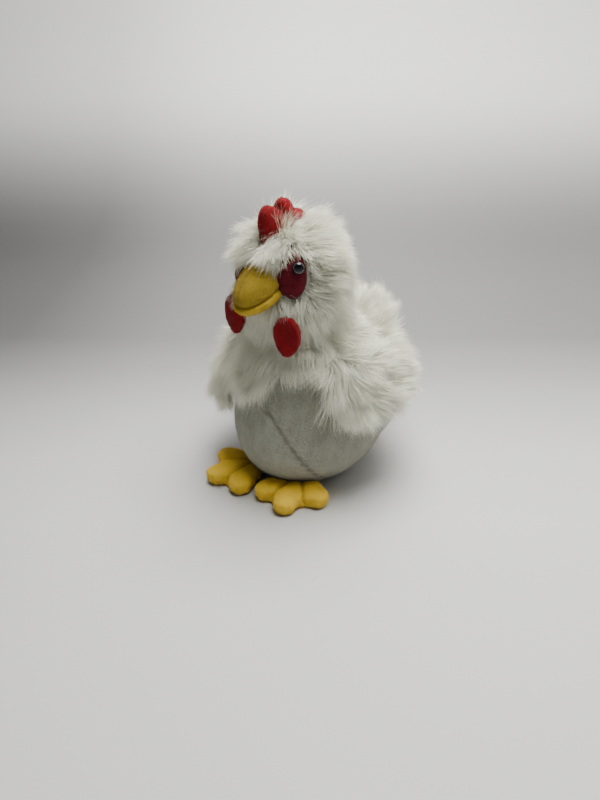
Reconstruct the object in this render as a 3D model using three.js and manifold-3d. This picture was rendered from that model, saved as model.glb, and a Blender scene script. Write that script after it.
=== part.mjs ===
// A stuffed white chicken, sitting on its base: stuffed torso, neck, head, two wings, a tail and two feet.
// Millimetres, +Z up. The chicken faces -Y, its left side is +X, and the origin is the centre of its base.
import * as THREE from "three";
import { mergeVertices } from "three/addons/utils/BufferGeometryUtils.js";
import Module from "manifold-3d";

const wasm = await Module();
wasm.setup();

// ---------------------------------------------------------------- driving dimensions
const GAP = 0.3; // between pieces that touch
const FABRIC = 2.5; // backing cloth and short pile
const TORSO_SIDES = 24;
const HEAD_SIDES = 22;
const RINGS = 9;
const FAR = 400; // longer than the toy, for cutters

// Cross-sections from the base up: height, half width, half length and how far back the middle lies.
const TORSO = [
  { z: 0, rx: 35, ry: 39, cy: 0 },
  { z: 5, rx: 47, ry: 53, cy: 2 },
  { z: 16, rx: 59, ry: 70, cy: 7 },
  { z: 33, rx: 67, ry: 84, cy: 12 },
  { z: 56, rx: 71, ry: 90, cy: 14 },
  { z: 80, rx: 68, ry: 86, cy: 14 },
  { z: 104, rx: 61, ry: 74, cy: 9 },
  { z: 126, rx: 52, ry: 59, cy: 0 },
  { z: 146, rx: 43, ry: 45, cy: -7 },
];
const SHOULDER = 143.2; // top of the torso
const BELLY_TOP = 108; // where the smooth cloth meets the fur, on a plane that falls towards the tail
const FRINGE_LOW = 98; // how far the fur hangs over the smooth cloth
const FUR_FALL = -0.13; // slope of both planes
const BASE_THICK = 3;
const POUCH_TOP = 40;
const RUMP_HALF = 45; // half width of the panel under the tail
const BREAST_BACK = -18; // the breast fur ends at this y

// The head is set a little to its right on the neck's axis. Its sections are measured from that axis.
const NECK_AXIS_Y = -9;
const HEAD_YAW = THREE.MathUtils.degToRad(-4);
const NOD_Z = 152;
const NOD_SLOPE = Math.tan(THREE.MathUtils.degToRad(6)); // each side of the nodding gap
const NECK_CORE = 30;
const NECK_RADIUS = 47;
const HEAD = [
  { z: 150, rx: 37, ry: 38, cy: -2 },
  { z: 165, rx: 39, ry: 41, cy: -7 },
  { z: 181, rx: 42, ry: 43, cy: -12 },
  { z: 197, rx: 43, ry: 44, cy: -15 },
  { z: 212, rx: 40.5, ry: 42, cy: -15 },
  { z: 224, rx: 34, ry: 36, cy: -14 },
  { z: 234, rx: 23, ry: 25, cy: -13 },
  { z: 240, rx: 9, ry: 10, cy: -12 },
  { z: 241, rx: 1, ry: 1, cy: -12 },
];
const CROWN_HALF = 13; // half width of the strip over the crown
const HEAD_PILE = 9; // fur depth round the head
const FACE_PILE = 3; // and round the beak

const HEAD_MIDDLE = new THREE.Vector3(0, -15, 200);
const EYE = { way: [33, -30, 18], seat: 44.8, radius: 5.6, shank: 2, shankEnd: 31, washer: 7, washerAt: 36.8 };
const PATCH = { turn: 41, z: 208, wide: 14, high: 21, proud: 1.8 };
const BEAK = { y: -46, z: 200, droop: 20, wide: 22, long: 40, high: 22, jaw: 17, wall: 2 };
const COMB = { half: 5.5, face: 2.2 };
const WATTLE = { x: 29, y: -54, z: 164, wide: 12, high: 18, thick: 4.5, turn: 10 };

const TAIL = { y: 80, z: 98, ball: 31, length: 62, wide: 36, deep: 20, lift: 42, wall: 9, sway: 12 };
const WING = { lining: 6.2, batting: 8, fur: 10.8, top: 15, low: 28, flap: 35 };
const WING_HINGE = { at: [56, 20, 116.7], along: [0, -0.9513, 0.3083] };
const FOOT = { x: 24, y: -41, toe: 11, thick: 13, wall: 2, axisY: -38, axisZ: 2, lift: 15 };
const TOES = [{ turn: 0, long: 41 }, { turn: -42, long: 33 }, { turn: 50, long: 27 }];
const FOOT_SPLAY = { left: 13, right: 30 }; // the soft feet lie a little unevenly
const SOLE = 1.8;
const LABEL = { at: [44, 73, 30], turn: 43, wide: 22, long: 15, thick: 0.9 };

const COLOURS = {
  fur: [0xf1efe6, 0.95],
  velour: [0xeeece4, 0.9],
  yellow: [0xe8b420, 0.9],
  red: [0xb0101c, 0.9],
  stuffing: [0xfafafa, 1.0],
  cotton: [0xe4ddc8, 0.9],
  black: [0x0c0c0c, 0.15],
  clear: [0x9aa0a0, 0.08],
  nylon: [0xf4f4f2, 0.5],
};

// ---------------------------------------------------------------- solids
function solidOf(geometry) {
  const bare = geometry.clone();
  bare.deleteAttribute("normal");
  bare.deleteAttribute("uv");
  const merged = mergeVertices(bare, 1e-4);
  const vertProperties = new Float32Array(merged.getAttribute("position").array);
  const triVerts = new Uint32Array(merged.index.array);
  const solid = new wasm.Manifold(new wasm.Mesh({ numProp: 3, vertProperties, triVerts }));
  if (solid.volume() > 0) return solid;
  return new wasm.Manifold(new wasm.Mesh({ numProp: 3, vertProperties, triVerts: triVerts.reverse() }));
}

function geometryOf(solid) {
  const mesh = solid.getMesh();
  const geometry = new THREE.BufferGeometry();
  geometry.setAttribute("position", new THREE.BufferAttribute(mesh.vertProperties, 3));
  geometry.setIndex(new THREE.BufferAttribute(mesh.triVerts, 1));
  geometry.computeVertexNormals();
  return geometry;
}

function box(x0, x1, y0, y1, z0, z1) {
  const block = new THREE.BoxGeometry(x1 - x0, y1 - y0, z1 - z0);
  return solidOf(block.translate((x0 + x1) / 2, (y0 + y1) / 2, (z0 + z1) / 2));
}

const between = (low, high) => box(-FAR, FAR, -FAR, FAR, low, high);

// A station of a profile and its outward slope, from smooth curves through the cross-sections.
function sampled(stations, t) {
  const widths = new THREE.CatmullRomCurve3(stations.map((s) => new THREE.Vector3(s.rx, s.ry, s.z)));
  const middles = new THREE.CatmullRomCurve3(stations.map((s) => new THREE.Vector3(0, s.cy, s.z)));
  const size = widths.getPoint(t);
  const slope = widths.getTangent(t);
  const run = Math.hypot((slope.x + slope.y) / 2, slope.z);
  return {
    rx: size.x,
    ry: size.y,
    z: size.z,
    cy: middles.getPoint(t).y,
    out: slope.z / run,
    up: -(slope.x + slope.y) / 2 / run,
  };
}

// A closed solid through the cross-sections, grown outwards by grow(turn, height). Turn 0 is +X.
function skin(stations, grow, sides) {
  const amount = typeof grow === "function" ? grow : () => grow;
  const points = [];
  for (let ring = 0; ring <= RINGS; ring += 1) {
    const s = sampled(stations, ring / RINGS);
    for (let side = 0; side < sides; side += 1) {
      const turn = (2 * Math.PI * side) / sides;
      const more = amount(turn, s.z);
      const x = Math.max(s.rx + more * s.out, 0.4) * Math.cos(turn);
      const y = s.cy + Math.max(s.ry + more * s.out, 0.4) * Math.sin(turn);
      points.push(x, y, s.z + more * s.up);
    }
  }
  const triangles = [];
  for (let ring = 0; ring < RINGS; ring += 1) {
    for (let side = 0; side < sides; side += 1) {
      const a = ring * sides + side;
      const b = ring * sides + ((side + 1) % sides);
      triangles.push(a, b, b + sides, a, b + sides, a + sides);
    }
  }
  const middle = points.length / 3;
  const low = sampled(stations, 0);
  const high = sampled(stations, 1);
  points.push(0, low.cy, low.z + amount(0, low.z) * low.up);
  points.push(0, high.cy, high.z + amount(0, high.z) * high.up);
  for (let side = 0; side < sides; side += 1) {
    const next = (side + 1) % sides;
    triangles.push(next, side, middle);
    triangles.push(RINGS * sides + side, RINGS * sides + next, middle + 1);
  }
  const geometry = new THREE.BufferGeometry();
  geometry.setAttribute("position", new THREE.Float32BufferAttribute(points, 3));
  geometry.setIndex(triangles);
  return solidOf(geometry);
}

const torso = (grow) => skin(TORSO, grow, TORSO_SIDES);
const head = (grow) => skin(HEAD, grow, HEAD_SIDES);

// A shape standing on Y, laid along way from a point. Its Z then lies in the vertical plane through way.
function laidAlong(geometry, from, way) {
  const along = way.clone().normalize();
  const other = Math.abs(along.z) > 0.99 ? new THREE.Vector3(0, 1, 0) : new THREE.Vector3(0, 0, 1);
  const across = other.cross(along).normalize();
  const up = across.clone().cross(along);
  const place = new THREE.Matrix4().makeBasis(across, along, up).setPosition(from);
  return solidOf(geometry.applyMatrix4(place));
}

// A cylinder of two radii along way, from one distance to another past a point.
function rod(from, way, start, end, wide, high, sides = 14) {
  const geometry = new THREE.CylinderGeometry(1, 1, end - start, sides);
  return laidAlong(geometry.scale(wide, 1, high).translate(0, (start + end) / 2, 0), from, way);
}

// An ellipsoid with its own axes turned by an Euler angle.
function egg(middle, radii, turn = new THREE.Euler(), sides = 14) {
  const geometry = new THREE.SphereGeometry(1, sides, Math.round(sides * 0.6));
  geometry.scale(...radii);
  const place = new THREE.Matrix4().makeRotationFromEuler(turn).setPosition(middle);
  return solidOf(geometry.applyMatrix4(place));
}

function slab(middle, turn, low, high) {
  const geometry = new THREE.BoxGeometry(FAR, FAR, high - low).translate(0, 0, (low + high) / 2);
  const place = new THREE.Matrix4().makeRotationFromEuler(turn).setPosition(middle);
  return solidOf(geometry.applyMatrix4(place));
}

// The main body of a cut piece, without slivers that a cutter leaves beside it.
function largest(solid) {
  return solid.decompose().sort((a, b) => b.volume() - a.volume())[0];
}

function mesh(name, solid, colour) {
  const [color, roughness] = COLOURS[colour];
  const made = new THREE.Mesh(geometryOf(solid), new THREE.MeshStandardMaterial({ color, roughness }));
  made.name = name;
  return made;
}

const chicken = new THREE.Group();
const sides = [
  { name: "left", sign: 1 },
  { name: "right", sign: -1 },
];

// ---------------------------------------------------------------- tail volume, which the torso makes room for
const tailPivot = new THREE.Vector3(0, TAIL.y, TAIL.z);
const tailTurn = new THREE.Euler(THREE.MathUtils.degToRad(TAIL.lift), 0, 0);
function tailVolume(grow) {
  const lift = THREE.MathUtils.degToRad(TAIL.lift);
  const reach = TAIL.length / 2;
  const middle = tailPivot.clone().add(new THREE.Vector3(0, Math.cos(lift) * reach, Math.sin(lift) * reach));
  const plume = egg(middle, [TAIL.wide + grow, reach + 6 + grow, TAIL.deep + grow], tailTurn, 18);
  const ball = egg(tailPivot, Array(3).fill(TAIL.ball - 3 + grow), tailTurn, 16);
  return plume.add(ball);
}
// The room the tail sweeps as it moves up and down on its seam.
let tailSocket = egg(tailPivot, Array(3).fill(TAIL.ball - 1), tailTurn, 18);
for (const part of [-1, -0.5, 0, 0.5, 1]) {
  tailSocket = tailSocket.add(tailVolume(0.8)
    .translate([0, -TAIL.y, -TAIL.z])
    .rotate([TAIL.sway * part, 0, 0])
    .translate([0, TAIL.y, TAIL.z]));
}

// ---------------------------------------------------------------- wing outlines, hinged along their sloping top edge
function wingOutline(inset) {
  const shape = new THREE.Shape();
  shape.moveTo(-32 + inset, 134 - inset * 1.6);
  shape.quadraticCurveTo(-48 + inset, 84, -36 + inset * 0.6, 56 + inset);
  shape.quadraticCurveTo(0, 45 + inset, 46, 49 + inset);
  shape.quadraticCurveTo(86 - inset, 55 + inset, 88 - inset, 82 - inset * 0.4);
  shape.lineTo(74 - inset, 99 - inset);
  return shape;
}
function wingPrism(sign, inset) {
  const made = new THREE.ExtrudeGeometry(wingOutline(inset), { depth: 120, bevelEnabled: false, curveSegments: 6 });
  const place = new THREE.Matrix4().set(0, 0, 1, 0, 1, 0, 0, 0, 0, 1, 0, 0, 0, 0, 0, 1);
  made.applyMatrix4(place);
  return solidOf(sign > 0 ? made : made.translate(-120, 0, 0));
}
function flapped(solid, degrees) {
  const hinge = new THREE.Vector3(...WING_HINGE.at);
  const turn = THREE.MathUtils.degToRad(degrees);
  const place = new THREE.Matrix4().makeTranslation(hinge)
    .multiply(new THREE.Matrix4().makeRotationAxis(new THREE.Vector3(...WING_HINGE.along), turn))
    .multiply(new THREE.Matrix4().makeTranslation(hinge.clone().negate()));
  return solid.transform(place.elements);
}
// The room the wings sweep as they lift, so that the fur beside them stays clear.
let wingRoom = wingPrism(1, -0.8).subtract(torso(WING.lining - 0.6));
const wingBody = wingPrism(1, -0.4).intersect(torso(WING.low).subtract(torso(WING.lining - 0.4)));
for (const part of [0.15, 0.3, 0.45, 0.6, 0.75, 0.9, 1]) {
  wingRoom = wingRoom.add(flapped(wingBody, WING.flap * part));
}
wingRoom = wingRoom.add(wingRoom.mirror([1, 0, 0]));

// ---------------------------------------------------------------- torso
// Pile depth: deep on the breast and the back, thin at the sides under the wings and at the wattles.
function torsoPile(turn, z) {
  const front = Math.max(-Math.sin(turn), 0);
  const back = Math.max(Math.sin(turn), 0);
  const drop = THREE.MathUtils.smoothstep(SHOULDER - z, 0, 55);
  return 6 + 15 * drop * front + 9 * drop * back ** 1.5;
}

const fall = new THREE.Euler(Math.atan(FUR_FALL), 0, 0);
const above = (height) => slab(new THREE.Vector3(0, 0, height), fall, 0, FAR / 2);
const smoothShell = torso(0).subtract(torso(-FABRIC))
  .intersect(between(BASE_THICK + GAP, FAR))
  .subtract(above(BELLY_TOP));
const rumpRoom = box(-RUMP_HALF, RUMP_HALF, 0, FAR, -FAR, FAR);
chicken.add(mesh("base_panel", rod(
  new THREE.Vector3(0, 0, 0), new THREE.Vector3(0, 0, 1), 0, BASE_THICK, 36, 40, 28), "velour"));
for (const { name, sign } of sides) {
  const half = sign > 0 ? box(GAP / 2, FAR, -FAR, FAR, -FAR, FAR) : box(-FAR, -GAP / 2, -FAR, FAR, -FAR, FAR);
  chicken.add(mesh(`belly_panel_${name}`, smoothShell.intersect(half).subtract(rumpRoom), "velour"));
}
const rump = box(GAP - RUMP_HALF, RUMP_HALF - GAP, GAP, FAR, -FAR, FAR);
chicken.add(mesh("rump_panel", smoothShell.intersect(rump).subtract(tailSocket), "velour"));

const filling = torso(-FABRIC - GAP);
chicken.add(mesh("pellet_pouch", filling.intersect(between(BASE_THICK + GAP, POUCH_TOP)), "cotton"));
chicken.add(mesh(
  "torso_stuffing", filling.intersect(between(POUCH_TOP + GAP, SHOULDER)).subtract(tailSocket), "stuffing"));

const hanging = torso(torsoPile).subtract(torso(GAP)).intersect(above(FRINGE_LOW)).intersect(between(0, SHOULDER));
const backing = torso(GAP * 2).subtract(torso(-FABRIC)).intersect(above(BELLY_TOP + GAP)).intersect(between(0, SHOULDER));
const torsoFur = hanging.add(backing).subtract(wingRoom);
const breast = box(-FAR, FAR, -FAR, BREAST_BACK, -FAR, FAR);
chicken.add(mesh("breast_fur", torsoFur.intersect(breast), "fur"));
for (const { name, sign } of sides) {
  const half = sign > 0
    ? box(GAP / 2, FAR, BREAST_BACK + GAP, FAR, -FAR, FAR)
    : box(-FAR, -GAP / 2, BREAST_BACK + GAP, FAR, -FAR, FAR);
  chicken.add(mesh(`back_fur_${name}`, torsoFur.intersect(half).subtract(tailSocket), "fur"));
}

// A folded tape sewn into the seam beside the rump.
const labelTurn = THREE.MathUtils.degToRad(LABEL.turn);
const tape = new THREE.BoxGeometry(LABEL.thick, LABEL.long + 10, LABEL.wide).translate(0, LABEL.long / 2, 0);
const tapeWay = new THREE.Vector3(Math.cos(labelTurn), Math.sin(labelTurn), -0.15);
const label = laidAlong(tape, new THREE.Vector3(...LABEL.at), tapeWay).subtract(torso(GAP));
chicken.add(mesh("sewn_label", largest(label), "nylon"));

// ---------------------------------------------------------------- tail
const tailShell = tailVolume(0).subtract(tailVolume(-TAIL.wall));
const tailAxis = tailPivot.clone();
const onTail = (low, high) => slab(tailAxis, tailTurn, low, high);
chicken.add(mesh("tail_fur_upper", tailShell.intersect(onTail(GAP, FAR / 2)), "fur"));
chicken.add(mesh("tail_fur_lower", tailShell.intersect(onTail(-FAR / 2, 0)), "fur"));
chicken.add(mesh("tail_stuffing", tailVolume(-TAIL.wall - GAP), "stuffing"));

// ---------------------------------------------------------------- neck
function turned(profile, parts = 28) {
  const points = profile.map(([r, z]) => new THREE.Vector2(r, z));
  return solidOf(new THREE.LatheGeometry(points, parts).rotateX(Math.PI / 2));
}
const neckTop = (r) => NOD_Z - 0.5 - r * NOD_SLOPE;
const neckLow = SHOULDER + GAP;
const neck = new THREE.Group();
neck.position.y = NECK_AXIS_Y;
neck.add(mesh("neck_stuffing", turned([
  [0, neckLow], [NECK_CORE, neckLow], [NECK_CORE, neckTop(NECK_CORE)], [0, neckTop(0)]]), "stuffing"));
const bandIn = NECK_CORE + GAP;
neck.add(mesh("neck_fur_band", turned([
  [bandIn, neckLow], [NECK_RADIUS, neckLow], [NECK_RADIUS, neckTop(NECK_RADIUS)],
  [bandIn, neckTop(bandIn)], [bandIn, neckLow]]), "fur"));
chicken.add(neck);

// ---------------------------------------------------------------- head, in its own turned group
const headGroup = new THREE.Group();
headGroup.position.y = NECK_AXIS_Y;
headGroup.rotation.z = HEAD_YAW;
chicken.add(headGroup);

const headLow = (r) => NOD_Z + 0.5 + r * NOD_SLOPE;
const headFloor = turned([[0, 0], [FAR / 2, 0], [FAR / 2, headLow(FAR / 2)], [0, headLow(0)]]);
const beakMiddle = new THREE.Vector3(0, BEAK.y, BEAK.z);
const beakTurn = new THREE.Euler(THREE.MathUtils.degToRad(BEAK.droop), 0, 0);
const upperBeak = (grow) => egg(
  beakMiddle, [BEAK.wide + grow, BEAK.long + grow, BEAK.high + grow], beakTurn, 20);
const lowerBeak = (grow) => egg(
  beakMiddle, [BEAK.wide + 0.5 + grow, BEAK.long - 1.5 + grow, BEAK.jaw + grow], beakTurn, 20);
const aboveMouth = (low) => slab(beakMiddle, beakTurn, low, FAR / 2);
const underMouth = (high) => slab(beakMiddle, beakTurn, -FAR / 2, high);
const beakRoom = upperBeak(0.6).intersect(aboveMouth(-0.6)).add(lowerBeak(0.6).intersect(underMouth(0.6)));

// The comb's outline seen from its left: three rounded points over a root buried in the head.
function combOutline() {
  const shape = new THREE.Shape();
  shape.moveTo(-43, 214);
  shape.lineTo(-48, 234);
  shape.bezierCurveTo(-53, 249, -47, 258, -40, 257);
  shape.quadraticCurveTo(-32, 256, -30, 247);
  shape.bezierCurveTo(-31, 257, -27, 262, -21, 261);
  shape.quadraticCurveTo(-12, 260, -11, 250);
  shape.bezierCurveTo(-9, 256, -3, 257, 2, 253);
  shape.quadraticCurveTo(6, 248, 5, 238);
  shape.lineTo(4, 222);
  return shape;
}
function combSlice(low, high, grow = 0) {
  const made = new THREE.ExtrudeGeometry(combOutline(), { depth: high - low, bevelEnabled: false, curveSegments: 4 });
  const middle = new THREE.Vector3(-21, 237, 0);
  const larger = 1 + grow / 25;
  made.translate(-middle.x, -middle.y, 0).scale(larger, larger, 1).translate(middle.x, middle.y, low);
  const place = new THREE.Matrix4().set(0, 0, 1, 0, 1, 0, 0, 0, 0, 1, 0, 0, 0, 0, 0, 1);
  return solidOf(made.applyMatrix4(place));
}

const wattleTurn = (sign) => new THREE.Euler(0, 0, THREE.MathUtils.degToRad(WATTLE.turn * sign));
const wattleMiddle = (sign) => new THREE.Vector3(WATTLE.x * sign, WATTLE.y, WATTLE.z);
const wattleVolume = (sign, grow) => egg(
  wattleMiddle(sign), [WATTLE.wide + grow, WATTLE.thick + grow, WATTLE.high + grow], wattleTurn(sign), 14);
const eyeWay = (sign) => new THREE.Vector3(EYE.way[0] * sign, EYE.way[1], EYE.way[2]);
const shankBore = (sign) => rod(HEAD_MIDDLE, eyeWay(sign), EYE.shankEnd - 1, 70, EYE.shank + GAP, EYE.shank + GAP, 8);
const patchWay = (sign) => {
  const turn = THREE.MathUtils.degToRad(PATCH.turn);
  return new THREE.Vector3(Math.sin(turn) * sign, -Math.cos(turn), 0.12);
};
const patchWindow = (sign, grow) => rod(
  new THREE.Vector3(0, HEAD_MIDDLE.y, PATCH.z), patchWay(sign), 22, 80, PATCH.wide + grow, PATCH.high + grow, 18);

// The pile is cropped close round the beak.
function headPile(turn, z) {
  const face = Math.max(-Math.sin(turn), 0) ** 4 * THREE.MathUtils.smoothstep(z, 168, 184);
  return HEAD_PILE + (FACE_PILE - HEAD_PILE) * face * THREE.MathUtils.smoothstep(232 - z, 0, 12);
}
let headFur = head(headPile).subtract(head(-FABRIC)).subtract(headFloor).subtract(beakRoom);
headFur = headFur.subtract(combSlice(-COMB.half - 0.4, COMB.half + 0.4, 0.6));
for (const { sign } of sides) {
  headFur = headFur.subtract(patchWindow(sign, GAP)).subtract(wattleVolume(sign, 0.8));
}
const crown = box(-CROWN_HALF, CROWN_HALF, -FAR, FAR, -FAR, FAR);
headGroup.add(mesh("crown_fur", largest(headFur.intersect(crown)), "fur"));
for (const { name, sign } of sides) {
  const inner = CROWN_HALF + GAP;
  const half = sign > 0 ? box(inner, FAR, -FAR, FAR, -FAR, FAR) : box(-FAR, -inner, -FAR, FAR, -FAR, FAR);
  headGroup.add(mesh(`cheek_fur_${name}`, largest(headFur.intersect(half)), "fur"));
}

let headFilling = head(-FABRIC - GAP).subtract(headFloor);
for (const { sign } of sides) {
  headFilling = headFilling.subtract(shankBore(sign));
  headFilling = headFilling.subtract(rod(
    HEAD_MIDDLE, eyeWay(sign), EYE.washerAt - 0.4, 70, EYE.washer + 0.4, EYE.washer + 0.4));
}
headGroup.add(mesh("head_stuffing", headFilling, "stuffing"));

for (const { name, sign } of sides) {
  const way = eyeWay(sign);
  const patch = head(PATCH.proud).subtract(head(-FABRIC)).intersect(patchWindow(sign, 0));
  headGroup.add(mesh(`eye_patch_${name}`, largest(patch.subtract(shankBore(sign)).subtract(beakRoom)), "red"));
  const disc = rod(HEAD_MIDDLE, way, EYE.seat, EYE.seat + 1.2, EYE.radius, EYE.radius);
  const shank = rod(HEAD_MIDDLE, way, EYE.shankEnd, EYE.seat + 0.6, EYE.shank, EYE.shank, 8);
  headGroup.add(mesh(`eye_shank_${name}`, disc.add(shank), "black"));
  const domeAt = HEAD_MIDDLE.clone().add(way.clone().normalize().multiplyScalar(EYE.seat + 1.5));
  const dome = egg(domeAt, [EYE.radius, EYE.radius, EYE.radius], new THREE.Euler(), 14)
    .intersect(rod(HEAD_MIDDLE, way, EYE.seat + 1.5, EYE.seat + 5.2, EYE.radius, EYE.radius));
  headGroup.add(mesh(`eye_lens_${name}`, dome, "clear"));
  const washer = rod(HEAD_MIDDLE, way, EYE.washerAt, EYE.washerAt + 1.3, EYE.washer, EYE.washer)
    .subtract(shankBore(sign));
  headGroup.add(mesh(`eye_washer_${name}`, washer, "nylon"));
}

const headFace = head(GAP);
const upperShell = upperBeak(0).subtract(upperBeak(-BEAK.wall)).intersect(aboveMouth(GAP / 2)).subtract(headFace);
headGroup.add(mesh("upper_beak_left", largest(upperShell.intersect(box(GAP / 2, FAR, -FAR, FAR, -FAR, FAR))), "yellow"));
headGroup.add(mesh("upper_beak_right", largest(upperShell.intersect(box(-FAR, -GAP / 2, -FAR, FAR, -FAR, FAR))), "yellow"));
headGroup.add(mesh("upper_beak_fill",
  largest(upperBeak(-BEAK.wall - GAP).intersect(aboveMouth(GAP / 2)).subtract(headFace)), "stuffing"));
const lowerShell = lowerBeak(0).subtract(lowerBeak(-BEAK.wall)).intersect(underMouth(-GAP / 2)).subtract(headFace);
headGroup.add(mesh("lower_beak", largest(lowerShell), "yellow"));
headGroup.add(mesh("lower_beak_fill",
  largest(lowerBeak(-BEAK.wall - GAP).intersect(underMouth(-GAP / 2)).subtract(headFace)), "stuffing"));

const combFace = COMB.half - COMB.face;
const combFloor = headFace.add(beakRoom);
headGroup.add(mesh("comb_face_left", combSlice(combFace, COMB.half).subtract(combFloor), "red"));
headGroup.add(mesh("comb_face_right", combSlice(-COMB.half, -combFace).subtract(combFloor), "red"));
headGroup.add(mesh("comb_batting",
  combSlice(GAP - combFace, combFace - GAP, -1.5).subtract(combFloor), "stuffing"));

for (const { name, sign } of sides) {
  const whole = wattleVolume(sign, 0);
  const turn = wattleTurn(sign).clone();
  const across = new THREE.Euler(Math.PI / 2, 0, 0);
  const lie = new THREE.Matrix4().makeRotationFromEuler(turn).multiply(new THREE.Matrix4().makeRotationFromEuler(across));
  const plane = new THREE.Euler().setFromRotationMatrix(lie);
  const middle = wattleMiddle(sign);
  headGroup.add(mesh(`wattle_${name}_front`, whole.intersect(slab(middle, plane, GAP / 2, FAR / 2)), "red"));
  headGroup.add(mesh(`wattle_${name}_back`, whole.intersect(slab(middle, plane, -FAR / 2, -GAP / 2)), "red"));
}

// ---------------------------------------------------------------- wings
const wingLayer = (low, high) => torso(high).subtract(torso(low));
const wingPile = (turn, z) => WING.top + (WING.low - WING.top) * THREE.MathUtils.smoothstep(135 - z, 0, 60);
for (const { name, sign } of sides) {
  const part = (low, high, inset) => largest(wingLayer(low, high).intersect(wingPrism(sign, inset)));
  chicken.add(mesh(`wing_${name}_lining`, part(WING.lining, WING.batting - GAP, 0), "velour"));
  chicken.add(mesh(`wing_${name}_batting`, part(WING.batting, WING.fur - GAP, 4), "stuffing"));
  chicken.add(mesh(`wing_${name}_fur`, part(WING.fur, wingPile, 0), "fur"));
}

// ---------------------------------------------------------------- feet, three stuffed toes on a flat sole
function toePrism(length, turn, radius, low, high) {
  const shape = new THREE.Shape();
  shape.moveTo(-radius, 0);
  shape.absarc(0, 0, radius, Math.PI, 2 * Math.PI);
  shape.lineTo(radius, length);
  shape.absarc(0, length, radius, 0, Math.PI);
  const made = new THREE.ExtrudeGeometry(shape, { depth: high - low, bevelEnabled: false, curveSegments: 6 });
  return solidOf(made.translate(0, 0, low).rotateZ(Math.PI + turn));
}
function footPrism(grow, low, high) {
  const toes = TOES.map(({ turn, long }) =>
    toePrism(long, THREE.MathUtils.degToRad(turn), FOOT.toe + grow, low, high));
  const pad = TOES.map(({ turn, long }) =>
    toePrism(long * 0.62, THREE.MathUtils.degToRad(turn), FOOT.toe + grow, low, high));
  return wasm.Manifold.hull(pad).add(toes[0]).add(toes[1]).add(toes[2]);
}
// The belly, and where it would be if the foot lifted and the belly came down to meet it.
let heelRoom = torso(1);
for (const part of [0.5, 1]) {
  heelRoom = heelRoom.add(torso(1)
    .translate([0, -FOOT.axisY, -FOOT.axisZ])
    .rotate([FOOT.lift * part, 0, 0])
    .translate([0, FOOT.axisY, FOOT.axisZ]));
}
for (const { name, sign } of sides) {
  const mirrored = (solid) => (sign > 0 ? solid : solid.mirror([1, 0, 0]));
  const placed = (solid) => largest(mirrored(solid
    .rotate([0, 0, FOOT_SPLAY[name]])
    .translate([FOOT.x, FOOT.y, 0]))
    .subtract(heelRoom));
  const cup = footPrism(0, SOLE + GAP, FOOT.thick).subtract(footPrism(-FOOT.wall, 0, FOOT.thick - FOOT.wall));
  chicken.add(mesh(`foot_${name}_upper`, placed(cup), "yellow"));
  chicken.add(mesh(`foot_${name}_sole`, placed(footPrism(0, 0, SOLE)), "yellow"));
  const fill = footPrism(-FOOT.wall - GAP, SOLE + GAP, FOOT.thick - FOOT.wall - GAP);
  chicken.add(mesh(`foot_${name}_fill`, placed(fill), "stuffing"));
}

export default chicken;
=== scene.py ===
"""A stuffed white hen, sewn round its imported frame: velour belly, long fur, red comb, beak, eyes and feet.

Lengths in this file are millimetres unless a name says otherwise. Meshes are made in metres.
The hen faces -Y, its left is +X, and z = 0 is the surface that it sits on.
"""
import math

import bmesh
import bpy
import numpy as np
from mathutils import Matrix, Vector


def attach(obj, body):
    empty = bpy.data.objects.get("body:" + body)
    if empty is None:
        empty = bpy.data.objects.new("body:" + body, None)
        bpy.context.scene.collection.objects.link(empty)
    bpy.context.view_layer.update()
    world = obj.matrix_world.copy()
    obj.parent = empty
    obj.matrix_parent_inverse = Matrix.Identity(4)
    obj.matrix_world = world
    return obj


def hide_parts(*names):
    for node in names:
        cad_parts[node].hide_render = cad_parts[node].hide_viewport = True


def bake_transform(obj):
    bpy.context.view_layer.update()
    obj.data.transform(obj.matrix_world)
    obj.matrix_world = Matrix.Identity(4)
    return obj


bl_info = {
    "name": "Stuffed hen",
    "version": (1, 0, 0),
    "blender": (4, 5, 0),
    "location": "View3D > Sidebar > Hen",
    "description": "Sews cloth, fur, eyes and feet round the packed frame of a stuffed hen",
    "category": "Object",
}

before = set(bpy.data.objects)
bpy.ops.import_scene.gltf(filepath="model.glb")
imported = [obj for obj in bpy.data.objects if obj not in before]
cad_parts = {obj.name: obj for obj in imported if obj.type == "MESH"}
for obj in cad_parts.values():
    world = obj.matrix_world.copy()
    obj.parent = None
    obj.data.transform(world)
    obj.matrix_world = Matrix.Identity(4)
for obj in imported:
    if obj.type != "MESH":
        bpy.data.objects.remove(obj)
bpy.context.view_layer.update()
MM = 0.001

# ------------------------------------------------------------------ the pattern, as in the solids
# Oval sections up the torso and the head: height, half width, half length, place of the middle in y.
TORSO_SECTIONS = (
    (0, 35, 39, 0), (5, 47, 53, 2), (16, 59, 70, 7), (33, 67, 84, 12), (56, 71, 90, 14),
    (80, 68, 86, 14), (104, 61, 74, 9), (126, 52, 59, 0), (146, 43, 45, -7),
)
HEAD_SECTIONS = (
    (150, 37, 38, -2), (165, 39, 41, -7), (181, 42, 43, -12), (197, 43, 44, -15), (212, 40.5, 42, -15),
    (224, 34, 36, -14), (234, 23, 25, -13), (240, 9, 10, -12), (241, 1, 1, -12),
)
NECK_AXIS = np.array((0.0, -9.0, 0.0))
HEAD_YAW = math.radians(-4)
FUR_SEAM = (108, -0.13)  # height of the seam under the fur at y = 0, and its fall per mm of y
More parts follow.
